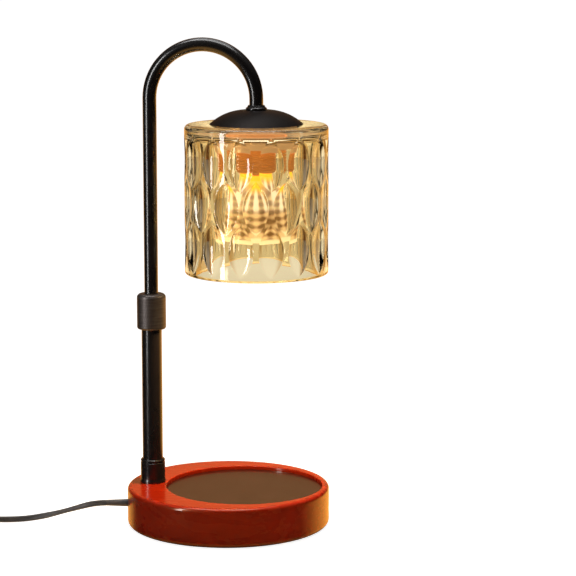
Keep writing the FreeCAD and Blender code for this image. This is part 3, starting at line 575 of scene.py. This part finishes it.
def keep_piece(name, mesh, body, slot, material, *replaced):
    """A mesh as a piece of the lamp, on its body, in place of CAD nodes."""
    mesh.materials.clear()
    mesh.materials.append(material)
    piece = add_object(name, mesh)
    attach(piece, body)
    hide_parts(*replaced)


def lathe(name, profile, angles, x=0.0, y=0.0):
    """A closed turned shell: the profile's points (r, z) at each angle, outwards where it runs up outside."""
    mesh = bpy.data.meshes.new(name)
    shape = bmesh.new()
    rings = []
    for a in angles:
        c, s = math.cos(a), math.sin(a)
        rings.append([shape.verts.new((x + r * c, y + r * s, h)) for r, h in profile])
    for here, there in zip(rings, rings[1:] + rings[:1]):
        for j in range(len(profile) - 1):
            shape.faces.new((here[j], there[j], there[j + 1], here[j + 1]))
    bmesh.ops.remove_doubles(shape, verts=shape.verts, dist=1e-7)
    for f in shape.faces:
        f.smooth = True
    shape.to_mesh(mesh)
    shape.free()
    return mesh


def arc(cx, cz, radius, first, last, steps):
    """Points of a round corner, angles in degrees."""
    for i in range(steps + 1):
        turn = math.radians(first + (last - first) * i / steps)
        yield (cx + radius * math.cos(turn), cz + radius * math.sin(turn))


def baked(name, host, tree, inputs):
    """The plain mesh that a geometry tree makes on a host mesh."""
    carrier = add_object(name + "_carrier", host)
    modifier = carrier.modifiers.new("Shape", "NODES")
    modifier.node_group = tree
    for item in tree.interface.items_tree:
        if item.in_out == "INPUT" and item.name in inputs:
            modifier[item.identifier] = inputs[item.name]
    graph = bpy.context.evaluated_depsgraph_get()
    graph.update()
    mesh = bpy.data.meshes.new_from_object(carrier.evaluated_get(graph))
    mesh.name = name
    bpy.data.objects.remove(carrier)
    return mesh


def geometry_tree(name, sockets):
    """An empty geometry tree with named inputs: its Tree, its inputs by name and its group."""
    group = bpy.data.node_groups.new(name, "GeometryNodeTree")
    group.interface.new_socket("Geometry", in_out="INPUT", socket_type="NodeSocketGeometry")
    group.interface.new_socket("Geometry", in_out="OUTPUT", socket_type="NodeSocketGeometry")
    for label, kind in sockets.items():
        group.interface.new_socket(label, in_out="INPUT", socket_type=kind)
    tree = Tree(group)
    return tree, tree.node("NodeGroupInput"), group


def close_tree(tree, geometry, material):
    """Ends a geometry tree: real meshes, with their material."""
    real = tree.node("GeometryNodeRealizeInstances", {"Geometry": geometry})["Geometry"]
    made = tree.node("GeometryNodeSetMaterial", {"Geometry": real, "Material": material})["Geometry"]
    tree.node("NodeGroupOutput", {"Geometry": made})


# Glass shade
COLUMN_STEPS = 16
CUT_STEPS = 6
LAND_STEPS = COLUMN_STEPS - 2 * CUT_STEPS
CUTS_ROUND = 15
CUT_ROWS = 3
CUT_FACING = math.radians(278.0)
CROWDING = 1.8
EDGE_SHARE = CUT_STEPS / COLUMN_STEPS
WALL_STEPS = 120
RIM_ROUND = 1.2 * MM
TOP_ROUND = 3.0 * MM
GLASS_WALL = 7.0 * MM
TOP_PLATE = 6.0 * MM
TOP_FLAT = 12.0 * MM
HOLE_RADIUS = 19.8 * MM
HOLE_ROUND = 0.6 * MM
INNER_ROUND = 4.0 * MM
INNER_RINGS = 8
TIP_FADE = 1.5 * MM
SEAM = 0.004 * MM
SHARP_EDGE = math.radians(55)
# Keeps a whole number from falling just below itself
NUDGE = 1e-4
CUT_SIZES = (
    "Radius", "Lowest", "Highest", "First row", "Row pitch",
    "Cut depth", "Half height", "Half width", "Hollow",
)


def column_angles():
    """The angles of the grid's columns at the plain bands above and below the cuts."""
    pitch = math.pi / CUTS_ROUND
    for i in range(2 * CUTS_ROUND * COLUMN_STEPS):
        k, s = divmod(i, COLUMN_STEPS)
        left = 1 - (1 - min(1.0, s / CUT_STEPS)) ** CROWDING
        right = 1 - (1 - min(1.0, (COLUMN_STEPS - s) / CUT_STEPS)) ** CROWDING
        land = min(1.0, max(0.0, (s - CUT_STEPS) / LAND_STEPS))
        yield CUT_FACING + pitch * (k + EDGE_SHARE * (left + 1 - right) + (1 - 2 * EDGE_SHARE) * land)


def shade_shell():
    """The glass without its cut wall: top, hole, inside and rim, on the same columns as the cuts."""
    r, i = SHADE_RADIUS, SHADE_RADIUS - GLASS_WALL
    low, top = SHADE_LOW.z, SHADE_HIGH.z
    plate = top - TOP_PLATE
    inner_top = plate - INNER_ROUND
    profile = [
        *arc(r - TOP_ROUND, top - TOP_ROUND, TOP_ROUND, 0, 90, 6),
        (HOLE_RADIUS + TOP_FLAT, top),
        *arc(HOLE_RADIUS + HOLE_ROUND, top - HOLE_ROUND, HOLE_ROUND, 90, 180, 3),
        (HOLE_RADIUS, plate),
        *arc(i - INNER_ROUND, inner_top, INNER_ROUND, 90, 0, 6),
        *[(i, inner_top - (inner_top - low - RIM_ROUND) * n / INNER_RINGS) for n in range(1, INNER_RINGS)],
        *arc(i + RIM_ROUND, low + RIM_ROUND, RIM_ROUND, 180, 270, 4),
        *arc(r - RIM_ROUND, low + RIM_ROUND, RIM_ROUND, 270, 360, 4),
    ]
    return lathe("shade_shell", profile, list(column_angles()), SHADE_AXIS.x, SHADE_AXIS.y)


def cut_wall_tree(material):
    """The wall of staggered pointed cuts, on a grid whose lines follow the cuts' outlines."""
    t, given, group = geometry_tree("Cut glass wall", {name: "NodeSocketFloat" for name in CUT_SIZES})
    radius, depth, reach = given["Radius"], given["Cut depth"], given["Half height"]
    columns = 2 * CUTS_ROUND * COLUMN_STEPS
    corners = {"Vertices X": columns + 1, "Vertices Y": WALL_STEPS + 1}
    grid = t.node("GeometryNodeMeshGrid", corners)["Mesh"]
    index = t.node("GeometryNodeInputIndex")["Index"]
    column = t.maths("FLOOR", index / (WALL_STEPS + 1) + NUDGE)
    level = index - column * (WALL_STEPS + 1)
    cell = t.maths("FLOOR", column / COLUMN_STEPS + NUDGE)
    step = column - cell * COLUMN_STEPS
    height = given["Lowest"] + (given["Highest"] - given["Lowest"]) * level / WALL_STEPS
    pitch = radius * (math.pi / CUTS_ROUND)
    slope = (depth - given["Half width"] ** 2.0 / (radius * 2.0)) / given["Half width"]

    def column_kind(first):
        """Depth, half width and nearness of a tip, for the rows first, first + 2 and so on."""
        away = None
        for row in range(first, CUT_ROWS, 2):
            here = abs(height - (given["First row"] + given["Row pitch"] * float(row)))
            away = here if away is None else t.maths("MINIMUM", away, here)
        deep = t.maths("MAXIMUM", depth * (1 - (away / reach) ** 2.0), 0.0)
        half = radius * (t.maths("SQRT", slope ** 2.0 + deep * 2.0 / radius) - slope)
        past = ((away - reach) / TIP_FADE).clamp()
        return deep, half, past

    outer_deep, outer_half, outer_past = column_kind(0)
    middle_deep, middle_half, middle_past = column_kind(1)
    outer_line = outer_half + (pitch - middle_half) * outer_past * EDGE_SHARE
    middle_line = middle_half + (pitch - outer_half) * middle_past * EDGE_SHARE
    odd = cell % 2.0
    left_line = middle_line + (outer_line - middle_line) * odd
    right_line = outer_line + (middle_line - outer_line) * odd
    left_deep = middle_deep + (outer_deep - middle_deep) * odd
    right_deep = outer_deep + (middle_deep - outer_deep) * odd
    left = 1 - (1 - (step / CUT_STEPS).clamp()) ** CROWDING
    right = 1 - (1 - ((COLUMN_STEPS - step) / CUT_STEPS).clamp()) ** CROWDING
    land = ((step - CUT_STEPS) / LAND_STEPS).clamp()
    across = left_line * left + (pitch - left_line - right_line) * land + right_line * (1 - right)
    drop = left_deep * (1 - left ** given["Hollow"]) + right_deep * (1 - right ** given["Hollow"])
    turn = cell * (math.pi / CUTS_ROUND) + across / radius + CUT_FACING
    out = radius - drop
    place = t.node("ShaderNodeCombineXYZ", {
        "X": out * t.maths("COSINE", turn) + SHADE_AXIS.x,
        "Y": out * t.maths("SINE", turn) + SHADE_AXIS.y,
        "Z": height,
    })["Vector"]
    wall = t.node("GeometryNodeSetPosition", {"Geometry": grid, "Position": place})["Geometry"]
    join = t.node("GeometryNodeJoinGeometry")
    for part in (wall, given["Geometry"]):
        t.feed(join.node.inputs["Geometry"], part)
    seam = {"Geometry": join["Geometry"], "Distance": SEAM}
    merged = t.node("GeometryNodeMergeByDistance", seam)["Geometry"]
    smooth = t.node("GeometryNodeSetShadeSmooth", {"Geometry": merged, "Shade Smooth": True})
    close_tree(t, smooth["Geometry"], material)
    return group


class LAMP_OT_glass_shade(bpy.types.Operator):
    """Makes the thick glass shade with its rows of pointed cuts"""

    bl_idname = "lamp.glass_shade"
    bl_label = "Glass shade"

    def execute(self, context):
        look = context.scene.lamp_looks.glass
        material = shade_glass(look)
        sizes = {
            "Radius": SHADE_RADIUS,
            "Lowest": SHADE_LOW.z + RIM_ROUND,
            "Highest": SHADE_HIGH.z - TOP_ROUND,
            "First row": SHADE_LOW.z + look.first_row,
            "Row pitch": look.row_pitch,
            "Cut depth": look.cut_depth,
            "Half height": look.cut_half_height,
            "Half width": look.cut_half_width,
            "Hollow": look.hollow,
        }
        mesh = baked("shade_glass", shade_shell(), cut_wall_tree(material), sizes)
        mesh.set_sharp_from_angle(angle=SHARP_EDGE)
        keep_piece("shade_glass", mesh, "arm", "amber_glass", material, "glass_shade")
        return {"FINISHED"}


# Base
DIAGONALS = 4
SCREW_RADIUS = 2.0 * MM
SCREW_HEIGHT = 1.1 * MM
SCREW_TAPER = 0.55
SCREW_DOME = 0.06 * MM
SCREW_LIFT = 0.05 * MM
CROSS_LENGTH, CROSS_WIDTH = 0.62 * SCREW_RADIUS, 0.16 * SCREW_RADIUS
CROSS_DEPTH = 0.5 * SCREW_HEIGHT
CROSS_TAPER = 0.75
FOOT_RADIUS = 5.5 * MM
FOOT_EDGE = 0.4 * MM
FOOT_STEPS = 48
GROOVES = 3
GROOVE_FIRST, GROOVE_PITCH = 0.72 * FOOT_RADIUS, 0.2 * FOOT_RADIUS
GROOVE_REACH, GROOVE_DEPTH = 0.35 * MM, 0.3 * MM


def screw_mesh():
    """A countersunk head with a cross recess, its top at z 0 and facing up."""
    mesh = bpy.data.meshes.new("screw_head")
    shape = bmesh.new()
    cross = []
    quarter = [(CROSS_WIDTH, -CROSS_LENGTH), (CROSS_WIDTH, -CROSS_WIDTH), (CROSS_LENGTH, -CROSS_WIDTH)]
    for _ in range(4):
        cross += quarter
        quarter = [(-y, x) for x, y in quarter]
    rim = []
    for x, y in cross:
        turn = math.atan2(y, x)
        place = (SCREW_RADIUS * math.cos(turn), SCREW_RADIUS * math.sin(turn), -SCREW_DOME)
        rim.append(shape.verts.new(place))
    top = [shape.verts.new((x, y, 0)) for x, y in cross]
    floor = [shape.verts.new((x * CROSS_TAPER, y * CROSS_TAPER, -CROSS_DEPTH)) for x, y in cross]
    side = [shape.verts.new((v.co.x * SCREW_TAPER, v.co.y * SCREW_TAPER, -SCREW_HEIGHT)) for v in rim]
    count = len(cross)
    for i in range(count):
        j = (i + 1) % count
        shape.faces.new((rim[i], rim[j], top[j], top[i]))
        shape.faces.new((top[i], top[j], floor[j], floor[i]))
        shape.faces.new((side[i], side[j], rim[j], rim[i]))
    shape.faces.new(floor)
    shape.faces.new(list(reversed(side)))
    shape.normal_update()
    shape.to_mesh(mesh)
    shape.free()
    return mesh


def foot_mesh(rise):
    """A round rubber foot with grooves in its underside."""
    profile = [(0, rise), (FOOT_RADIUS, rise), (FOOT_RADIUS, FOOT_EDGE)]
    profile += arc(FOOT_RADIUS - FOOT_EDGE, FOOT_EDGE, FOOT_EDGE, 0, -90, 3)
    for groove in range(GROOVES):
        r = GROOVE_FIRST - GROOVE_PITCH * groove
        profile += [(r + GROOVE_REACH, 0), (r, GROOVE_DEPTH), (r - GROOVE_REACH, 0)]
    profile.append((0, 0))
    mesh = lathe("foot", profile, [2 * math.pi * i / FOOT_STEPS for i in range(FOOT_STEPS)])
    mesh.flip_normals()
    return mesh


def ring_tree(name, item, material):
    """Copies of an item on a circle, one to each diagonal."""
    t, given, group = geometry_tree(name, {
        "Radius": "NodeSocketFloat", "Centre": "NodeSocketVector", "Turn": "NodeSocketVector"})
    circle = t.node("GeometryNodeMeshCircle", {"Vertices": DIAGONALS, "Radius": given["Radius"]})
    corners = t.node("GeometryNodeTransform", {
        "Geometry": circle["Mesh"], "Rotation": (0, 0, math.pi / DIAGONALS), "Translation": given["Centre"],
    })["Geometry"]
    shown = t.node("GeometryNodeObjectInfo", {"Object": item})["Geometry"]
    copies = t.node("GeometryNodeInstanceOnPoints", {
        "Points": corners, "Instance": shown, "Rotation": given["Turn"]})["Instances"]
    close_tree(t, copies, material)
    return group


def ring_of(name, node, item_mesh, item_radius, height, material, slot, turn=(0, 0, 0)):
    """Copies of one mesh in place of a CAD node with a solid on each diagonal."""
    item = add_object(name + "_item", item_mesh)
    item.hide_render = True
    sizes = {
        "Radius": (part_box(node)[1].x - item_radius) * math.sqrt(2), "Centre": (0, 0, height), "Turn": turn,
    }
    mesh = baked(name, bpy.data.meshes.new(name + "_host"), ring_tree(name, item, material), sizes)
    bpy.data.objects.remove(item)
    keep_piece(name, mesh, "base", slot, material, node)


class LAMP_OT_base(bpy.types.Operator):
    """Finishes the turned base, its seat, ballast, cover, screws and feet"""

    bl_idname = "lamp.base"
    bl_label = "Base"

    def execute(self, context):
        look = context.scene.lamp_looks.base
        iron = moulded("Ballast iron", (0.09, 0.088, 0.085), 0.62, pebble=260.0, metallic=0.6, depth=0.2 * MM)
        cover = moulded(
            "Cover steel", (0.018, 0.018, 0.019), 0.5, pebble=700.0, metallic=0.2, depth=0.08 * MM
        )
        screws = plated_steel()
        rubber = moulded("Foot rubber", (0.022, 0.021, 0.021), 0.7, pebble=800.0, depth=0.1 * MM)
        dress(lacquered_wood(look), "lacquered_wood", "base_body")
        dress(seat_lacquer(look), "seat_lacquer", "seat_disc")
        dress(iron, "ballast_iron", "ballast_plate")
        dress(cover, "cover_steel", "bottom_cover")
        dress(screws, "screw_steel", "ballast_screws", "dimmer_screws")
        head_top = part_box("cover_screws")[0].z + SCREW_LIFT
        ring_of(
            "cover_screw_heads", "cover_screws", screw_mesh(), SCREW_RADIUS, head_top, screws, "screw_steel",
            (math.pi, 0, 0),
        )
        foot_low, foot_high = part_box("rubber_feet")
        foot = foot_mesh(foot_high.z - foot_low.z)
        ring_of("feet", "rubber_feet", foot, FOOT_RADIUS, 0.0, rubber, "foot_rubber")
        return {"FINISHED"}


# Post and arm
class LAMP_OT_post(bpy.types.Operator):
    """Finishes the post, its ferrule, collar, collet and what clamps it inside the base"""

    bl_idname = "lamp.post"
    bl_label = "Post"

    def execute(self, context):
        black = black_lacquer(context.scene.lamp_looks.metal)
        steel = plated_steel()
        nylon = moulded("White nylon", (0.62, 0.60, 0.55), 0.45, pebble=600.0, shift=1.1)
        dress(black, "black_metal", "post_tube", "post_ferrule", "arm_tube", "neck_ring")
        dress(satin_collar(), "black_metal", "lock_collar")
        dress(steel, "plated_steel", "tube_plug", "post_nipple", "post_washer", "post_nut", "arm_end_clip",
              "arm_nipple", "cap_washer", "cap_nut", "bulb_pins")
        dress(nylon, "white_nylon", "grip_collet", "guide_bush", "terminal_block")
        return {"FINISHED"}


# Cap, holder and ring
class LAMP_OT_cap(bpy.types.Operator):
    """Finishes the cap, the lamp holder, the shade ring and the gasket"""

    bl_idname = "lamp.cap"
    bl_label = "Cap and holder"

    def execute(self, context):
        dress(matt_black(context.scene.lamp_looks.metal), "matt_black", "dome_cap")
        dress(holder_finish(), "holder_plastic", "lamp_holder")
        # The shade ring glows with painted light, standing for the bulb's light on it.
        ring = moulded(
            "Ring brass", (0.96, 0.66, 0.38), 0.33, pebble=400.0, metallic=0.6, depth=0.02 * MM, shift=1.04,
            glow=0.38,
        )
        ceramic = moulded(
            "Ceramic", (0.80, 0.77, 0.70), 0.22, pebble=300.0, depth=0.02 * MM, shift=1.06, coat=0.4
        )
        dress(ring, "ring_brass", "shade_ring")
        dress(moulded("Silicone", (0.55, 0.50, 0.42), 0.5), "gasket", "shade_gasket")
        dress(ceramic, "ceramic", "holder_insert")
        return {"FINISHED"}


# Bulb
class LAMP_OT_bulb(bpy.types.Operator):
    """Lights the reflector bulb and gives its bowl facets"""

    bl_idname = "lamp.bulb"
    bl_label = "Bulb"

    def execute(self, context):
        look = context.scene.lamp_looks.bulb
        dress(lit_reflector(look), "bulb_glass", "bulb_reflector")
        dress(lit("Lit lens", (1.0, 0.80, 0.42), look.strength * 0.8), "bulb_lens", "bulb_lens")
        dress(lit("Lit capsule", (1.0, 0.86, 0.55), look.strength * 3), "capsule_glass", "bulb_capsule")
        # The ceramic base's glow is painted light.
        dress(lit("Lit base", (1.0, 0.60, 0.05), look.strength), "ceramic", "bulb_base")
        return {"FINISHED"}


# Cord
# The route's points along the cord's heading, to its side and up, in mm, and how far its flat side turns
FLAT = math.radians(90)
TURN_POINTS = 3
LEAD_POINTS = [
    (79.0, 0.0, 14.0), (87.0, -0.1, 13.7), (97.0, -0.6, 10.9), (109.0, -1.4, 7.4), (120.0, -2.4, 4.5),
    (131.0, -3.2, 2.6), (141.0, -3.5, 2.0), (150.0, -3.4, 2.0), (156.5, -3.1, 3.2), (162.0, -2.8, 4.9),
    (168.0, -2.6, 5.5),
]
LEAD_TILTS = [math.radians(a) for a in (0, 10, 60, 80, 30, 5, 0, 0, 0, 20, 45)]
MID_POINTS = [
    (230.0, -2.6, 5.5), (237.6, -3.0, 4.8), (244.2, -6.5, 3.4), (249.0, -12.6, 2.3), (251.1, -20.3, 1.75),
    (251.6, -28.5, 1.52), (251.6, -37.256, 1.52),
]
TAIL_POINTS = [
    (227.244, -17.9, 12.32), (236.5, -19.0, 12.0), (246.0, -20.2, 10.4), (254.6, -23.8, 8.5),
    (261.0, -30.2, 7.3), (264.4, -38.4, 7.0), (265.0, -47.0, 7.0),
]
COIL_CENTRE = (224.244, -45.256)
COIL_OUT_RADIUS = 27.356
COIL_PITCH = 4.2
COIL_LAYER_PITCH = 3.6
COIL_LAYERS = 4
COIL_LAYER_TURNS = 2.3125
COIL_LOW = 1.52
COIL_STEPS = 40
CLIMB_STEPS = 8
SECTION_POINTS = 28
CORE_FLATNESS, SIDE_FLATNESS = 0.7, 0.8
VALLEY_DEPTH, VALLEY_WIDTH = 0.3, 0.22


def coil_points():
    """The coil's turns: spirals in and out, with a climb of a layer in the half turn between them."""
    angle = 0.0
    layer_turn = 2 * math.pi * COIL_LAYER_TURNS
    inner = COIL_OUT_RADIUS - COIL_LAYER_TURNS * COIL_PITCH
    points = []

    def add(turn, r, z):
        points.append((COIL_CENTRE[0] + r * math.cos(turn), COIL_CENTRE[1] - r * math.sin(turn), z))

    for layer in range(COIL_LAYERS):
        start, stop = (COIL_OUT_RADIUS, inner) if layer % 2 == 0 else (inner, COIL_OUT_RADIUS)
        z = COIL_LOW + layer * COIL_LAYER_PITCH
        for i in range(COIL_STEPS + 1):
            share = i / COIL_STEPS
            add(angle + share * layer_turn, start + share * (stop - start), z)
        angle += layer_turn
        if layer < COIL_LAYERS - 1:
            for i in range(1, CLIMB_STEPS):
                share = i / CLIMB_STEPS
                add(angle + math.pi * share, stop, z + COIL_LAYER_PITCH * share * share * (3 - 2 * share))
            angle += math.pi
    return points


def cord_section(look):
    """The outline of two round cores side by side, with a shallow valley between them."""
    curve = bpy.data.curves.new("cord_section", "CURVE")
    curve.dimensions = "2D"
    outline = curve.splines.new("POLY")
    outline.points.add(SECTION_POINTS - 1)
    for i, point in enumerate(outline.points):
        turn = 2 * math.pi * i / SECTION_POINTS
        x = look.width / 2 * math.copysign(abs(math.cos(turn)) ** SIDE_FLATNESS, math.cos(turn))
        valley = 1 - VALLEY_DEPTH * math.exp(-((x / (VALLEY_WIDTH * look.width)) ** 2))
        y = look.thickness / 2 * math.copysign(abs(math.sin(turn)) ** CORE_FLATNESS, math.sin(turn)) * valley
        point.co = (y, x, 0, 1)
    outline.use_cyclic_u = True
    section = add_object("cord_section", curve)
    section.hide_render = True
    return section


def cord_curve(name, points, tilts, section, material, *replaced):
    """A smooth cord along a route's points, its flat section turned by the tilts, in place of CAD nodes."""
    curve = bpy.data.curves.new(name, "CURVE")
    curve.dimensions = "3D"
    spline = curve.splines.new("NURBS")
    spline.points.add(len(points) - 1)
    for point, place, tilt in zip(spline.points, points, tilts):
        point.co = (*along(*place), 1.0)
        point.tilt = tilt
    spline.order_u = 3
    spline.use_endpoint_u = True
    spline.resolution_u = 4
    curve.twist_mode = "Z_UP"
    curve.bevel_mode = "OBJECT"
    curve.bevel_object = section
    curve.use_fill_caps = True
    curve.materials.append(material)
    cord = add_object(name, curve)
    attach(cord, "base")
    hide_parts(*replaced)
    return cord


class LAMP_OT_cord(bpy.types.Operator):
    """Lays the flat twin cord from the base through the dimmer and its coil to the plug"""

    bl_idname = "lamp.cord"
    bl_label = "Cord"

    def execute(self, context):
        look = context.scene.lamp_looks.cord
        sheath = cord_sheath(look)
        dress(sheath, "cord_sheath", "cord_strain_relief", "cord_inner", "post_flex", "arm_flex")
        section = cord_section(look)
        lead_curve = cord_curve("cord_lead_flex", LEAD_POINTS, LEAD_TILTS, section, sheath, "cord_lead")
        coiled = MID_POINTS + coil_points() + TAIL_POINTS
        tilts = [FLAT * min(1.0, i / TURN_POINTS) for i in range(len(coiled))]
        coil_curve = cord_curve(
            "cord_coil_flex", coiled, tilts, section, sheath, "cord_mid", "cord_coil", "cord_tail"
        )
        along(*LEAD_POINTS[0])
        along(*MID_POINTS[0])
        return {"FINISHED"}


# Dimmer and plug
class LAMP_OT_dimmer(bpy.types.Operator):
    """Finishes the dimmer, the plug and the cord's anchor"""

    bl_idname = "lamp.dimmer"
    bl_label = "Dimmer and plug"

    def execute(self, context):
        plastic = moulded("Black plastic", (0.022, 0.022, 0.023), 0.46, pebble=1100.0, depth=0.06 * MM)
        knob = moulded("Knob plastic", (0.045, 0.045, 0.048), 0.4, pebble=1100.0, depth=0.05 * MM)
        brass = moulded(
            "Blade brass", (0.72, 0.55, 0.26), 0.24, pebble=500.0, metallic=1.0, depth=0.01 * MM, shift=1.1
        )
        dress(plastic, "black_plastic", "dimmer_lower", "dimmer_upper", "plug_body", "cord_anchor")
        dress(knob, "knob_plastic", "dimmer_wheel")
        dress(circuit_board(), "board", "dimmer_board")
        dress(brass, "plug_brass", "plug_blades")
        return {"FINISHED"}


# Stage
CAMERA_PLACE = Vector((229.4, -1395.8, 384.3)) * MM
CAMERA_LOOK = Vector((-0.1335, 0.9780, -0.1603))


def stage_place(right, nearer, up):
    """A place in metres to the right of the lamp and nearer the camera, as the camera sees it."""
    ahead = Vector((CAMERA_LOOK.x, CAMERA_LOOK.y, 0)).normalized()
    side = Vector((ahead.y, -ahead.x, 0))
    return side * right - ahead * nearer + Vector((0, 0, up))


def softbox(name, place, aim, size, power, kinds, colour=(1, 1, 1)):
    """A rectangular lamp aimed at a place, which only the named kinds of light see."""
    data = bpy.data.lights.new(name, "AREA")
    data.shape = "RECTANGLE"
    data.size, data.size_y = size
    data.energy = power
    data.color = colour
    lamp = add_object(name, data)
    lamp.location = place
    lamp.rotation_mode = "QUATERNION"
    lamp.rotation_quaternion = (Vector(aim) - place).to_track_quat("-Z", "Y")
    lamp.visible_camera = False
    for kind in ("diffuse", "glossy", "transmission"):
        setattr(lamp, "visible_" + kind, kind in kinds)


# What shiny parts mirror: a direction to the right, nearer and up, how close to it this starts and is full,
# and its colour. What is aimed below the horizon fades out there, so that faces that look up don't show it.
MIRRORED = [
    ((0.0, 0.0, 1.0), 0.2, 1.0, (0.16, 0.155, 0.15)),
    ((0.0, -1.0, 0.16), 0.75, 1.0, (0.42, 0.20, 0.08)),
    ((0.0, -1.0, 0.08), 0.9965, 1.0, (1.1, 0.85, 0.42)),
    ((0.5, -0.866, -0.1), 0.5, 0.99, (1.9, 0.85, 0.15)),
    ((-0.35, -0.94, -0.1), 0.85, 0.995, (1.3, 0.62, 0.14)),
    ((0.0, 0.0, -1.0), 0.4, 0.9, (1.8, 0.95, 0.25)),
]
MIRROR_DARK = (0.012, 0.011, 0.011)
HORIZON = (-0.10, 0.03)


def mirrored(t, way):
    """The surroundings that shiny parts mirror."""
    seen = MIRROR_DARK
    below = 1 - t.ramp(t.parts(way)["Z"], *HORIZON)
    for (right, nearer, up), start, full, colour in MIRRORED:
        amount = t.ramp(t.dot(way, stage_place(right, nearer, up).normalized()), start, full)
        seen = t.mix(amount * below if up < 0 else amount, seen, colour)
    return seen


def behind_glass(t, way):
    """What the glass shows: white straight ahead, gold beside it and brown all round."""
    facing = t.dot(way, stage_place(0.0, -1.0, 0.0))
    edge = t.mix(t.ramp(facing, 0.3, 0.85), (0.10, 0.035, 0.008), (0.90, 0.62, 0.28))
    return t.mix(t.ramp(facing, 0.90, 0.985), edge, (1.42, 1.38, 1.26))


def backdrop_world(ambient):
    """White for the camera, a dark-edged backdrop for the glass, and dimmer all round for the rest."""
    world = bpy.data.worlds.new("Backdrop")
    world.use_nodes = True
    bpy.context.scene.world = world
    t = Tree(world.node_tree)
    rays = t.node("ShaderNodeLightPath")
    way = t.node("ShaderNodeTexCoord")["Generated"]
    colour = t.mix(rays["Is Glossy Ray"], (ambient,) * 3, mirrored(t, way))
    colour = t.mix(rays["Is Transmission Ray"], colour, behind_glass(t, way))
    colour = t.mix(rays["Is Camera Ray"], colour, (1, 1, 1))
    t.feed(world.node_tree.nodes["Background"].inputs["Color"], colour)


FLOOR_IN_GLASS = (0.58, 0.58, 0.58)


def floor_paint(tone):
    """Pale paint that shows the object's shadow and otherwise meets the white behind it."""

    def values(t):
        rays = t.node("ShaderNodeLightPath")
        shown = t.vector("MULTIPLY", behind_glass(t, t.vector("NORMALIZE", t.place())), FLOOR_IN_GLASS)
        through = t.mix(rays["Is Transmission Ray"], (0, 0, 0), shown)
        return {
            "Base Color": (tone, tone, tone),
            "Roughness": 0.9,
            "Specular IOR Level": 0.1,
            "Emission Color": t.mix(rays["Is Camera Ray"], through, (1, 1, 1)),
            "Emission Strength": 0.93,
        }

    return finish("Floor paint", values)


# Lamps: to the right, nearer and up, their size in metres, and the kinds of light that see them
SOFTBOXES = [
    ("key", (-0.7, 0.9, 0.9), (0.6, 0.6), ("diffuse",)),
    ("top", (0.05, -0.25, 1.3), (0.8, 0.8), ("diffuse", "glossy", "transmission")),
    ("bar", (-0.05, 0.12, 1.3), (1.2, 0.2), ("glossy",)),
    ("strip", (-0.95, 0.69, 0.38), (0.17, 0.98), ("glossy", "transmission")),
]
LAMP_MIDDLE = Vector((0, 0, 0.16))
BULB_LIGHT_DROP = 2 * MM
BULB_LIGHT_SIZE = (0.035, 0.035)
BULB_LIGHT_COLOUR = (1.0, 0.72, 0.38)
FLOOR_HALF = 12.0
SENSOR_WIDTH = 36.0


def add_camera(scene, lens):
    data = bpy.data.cameras.new("Camera")
    data.lens = lens
    data.sensor_width = SENSOR_WIDTH
    camera = add_object("Camera", data)
    camera.location = CAMERA_PLACE
    camera.rotation_mode = "QUATERNION"
    camera.rotation_quaternion = CAMERA_LOOK.to_track_quat("-Z", "Y")
    scene.camera = camera


def add_floor(tone):
    mesh = bpy.data.meshes.new("floor")
    corners = [(x * FLOOR_HALF, y * FLOOR_HALF, 0) for x, y in ((-1, -1), (1, -1), (1, 1), (-1, 1))]
    mesh.from_pydata(corners, [], [(0, 1, 2, 3)])
    mesh.materials.append(floor_paint(tone))
    floor = add_object("floor", mesh)
    floor.visible_glossy = False


class LAMP_OT_stage(bpy.types.Operator):
    """Sets up the floor, the background, the lamps and the camera"""

    bl_idname = "lamp.stage"
    bl_label = "Stage"

    def execute(self, context):
        scene = context.scene
        look = scene.lamp_looks.stage
        scene.view_settings.view_transform = "Standard"
        add_camera(scene, look.lens)
        add_floor(look.floor_tone)
        backdrop_world(look.ambient)
        for name, place, size, kinds in SOFTBOXES:
            softbox(name, stage_place(*place), LAMP_MIDDLE, size, getattr(look, name + "_power"), kinds)
        below = Vector((SHADE_AXIS.x, SHADE_AXIS.y, BULB_LOW.z - BULB_LIGHT_DROP))
        softbox(
            "bulb_light", below, below - Vector((0, 0, 1)), BULB_LIGHT_SIZE,
            scene.lamp_looks.bulb.lamp_power, ("diffuse",), BULB_LIGHT_COLOUR,
        )
        return {"FINISHED"}


class LAMP_PT_panel(bpy.types.Panel):
    """Lists the steps and the looks of the lamp"""

    bl_idname = "LAMP_PT_panel"
    bl_label = "Candle warmer lamp"
    bl_space_type = "VIEW_3D"
    bl_region_type = "UI"
    bl_category = "Lamp"

    def draw(self, context):
        for operator in STEPS:
            self.layout.operator(operator.bl_idname)
        looks = context.scene.lamp_looks
        for group in (looks.stage, looks.base, looks.metal, looks.glass, looks.bulb, looks.cord):
            box = self.layout.box()
            for name in group.bl_rna.properties.keys():
                if name not in ("rna_type", "name"):
                    box.prop(group, name)


STEPS = [
    LAMP_OT_stage, LAMP_OT_cord, LAMP_OT_base, LAMP_OT_post, LAMP_OT_cap, LAMP_OT_bulb, LAMP_OT_glass_shade,
    LAMP_OT_dimmer,
]
CLASSES = [StageLook, BaseLook, MetalLook, GlassLook, BulbLook, CordLook, LampLooks, *STEPS, LAMP_PT_panel]


def register():
    for part in CLASSES:
        bpy.utils.register_class(part)
    bpy.types.Scene.lamp_looks = PointerProperty(type=LampLooks)


def unregister():
    del bpy.types.Scene.lamp_looks
    for part in reversed(CLASSES):
        bpy.utils.unregister_class(part)


def main():
    register()
    for operator in STEPS:
        group, name = operator.bl_idname.split(".")
        getattr(getattr(bpy.ops, group), name)()


if __name__ == "__main__":
    main()
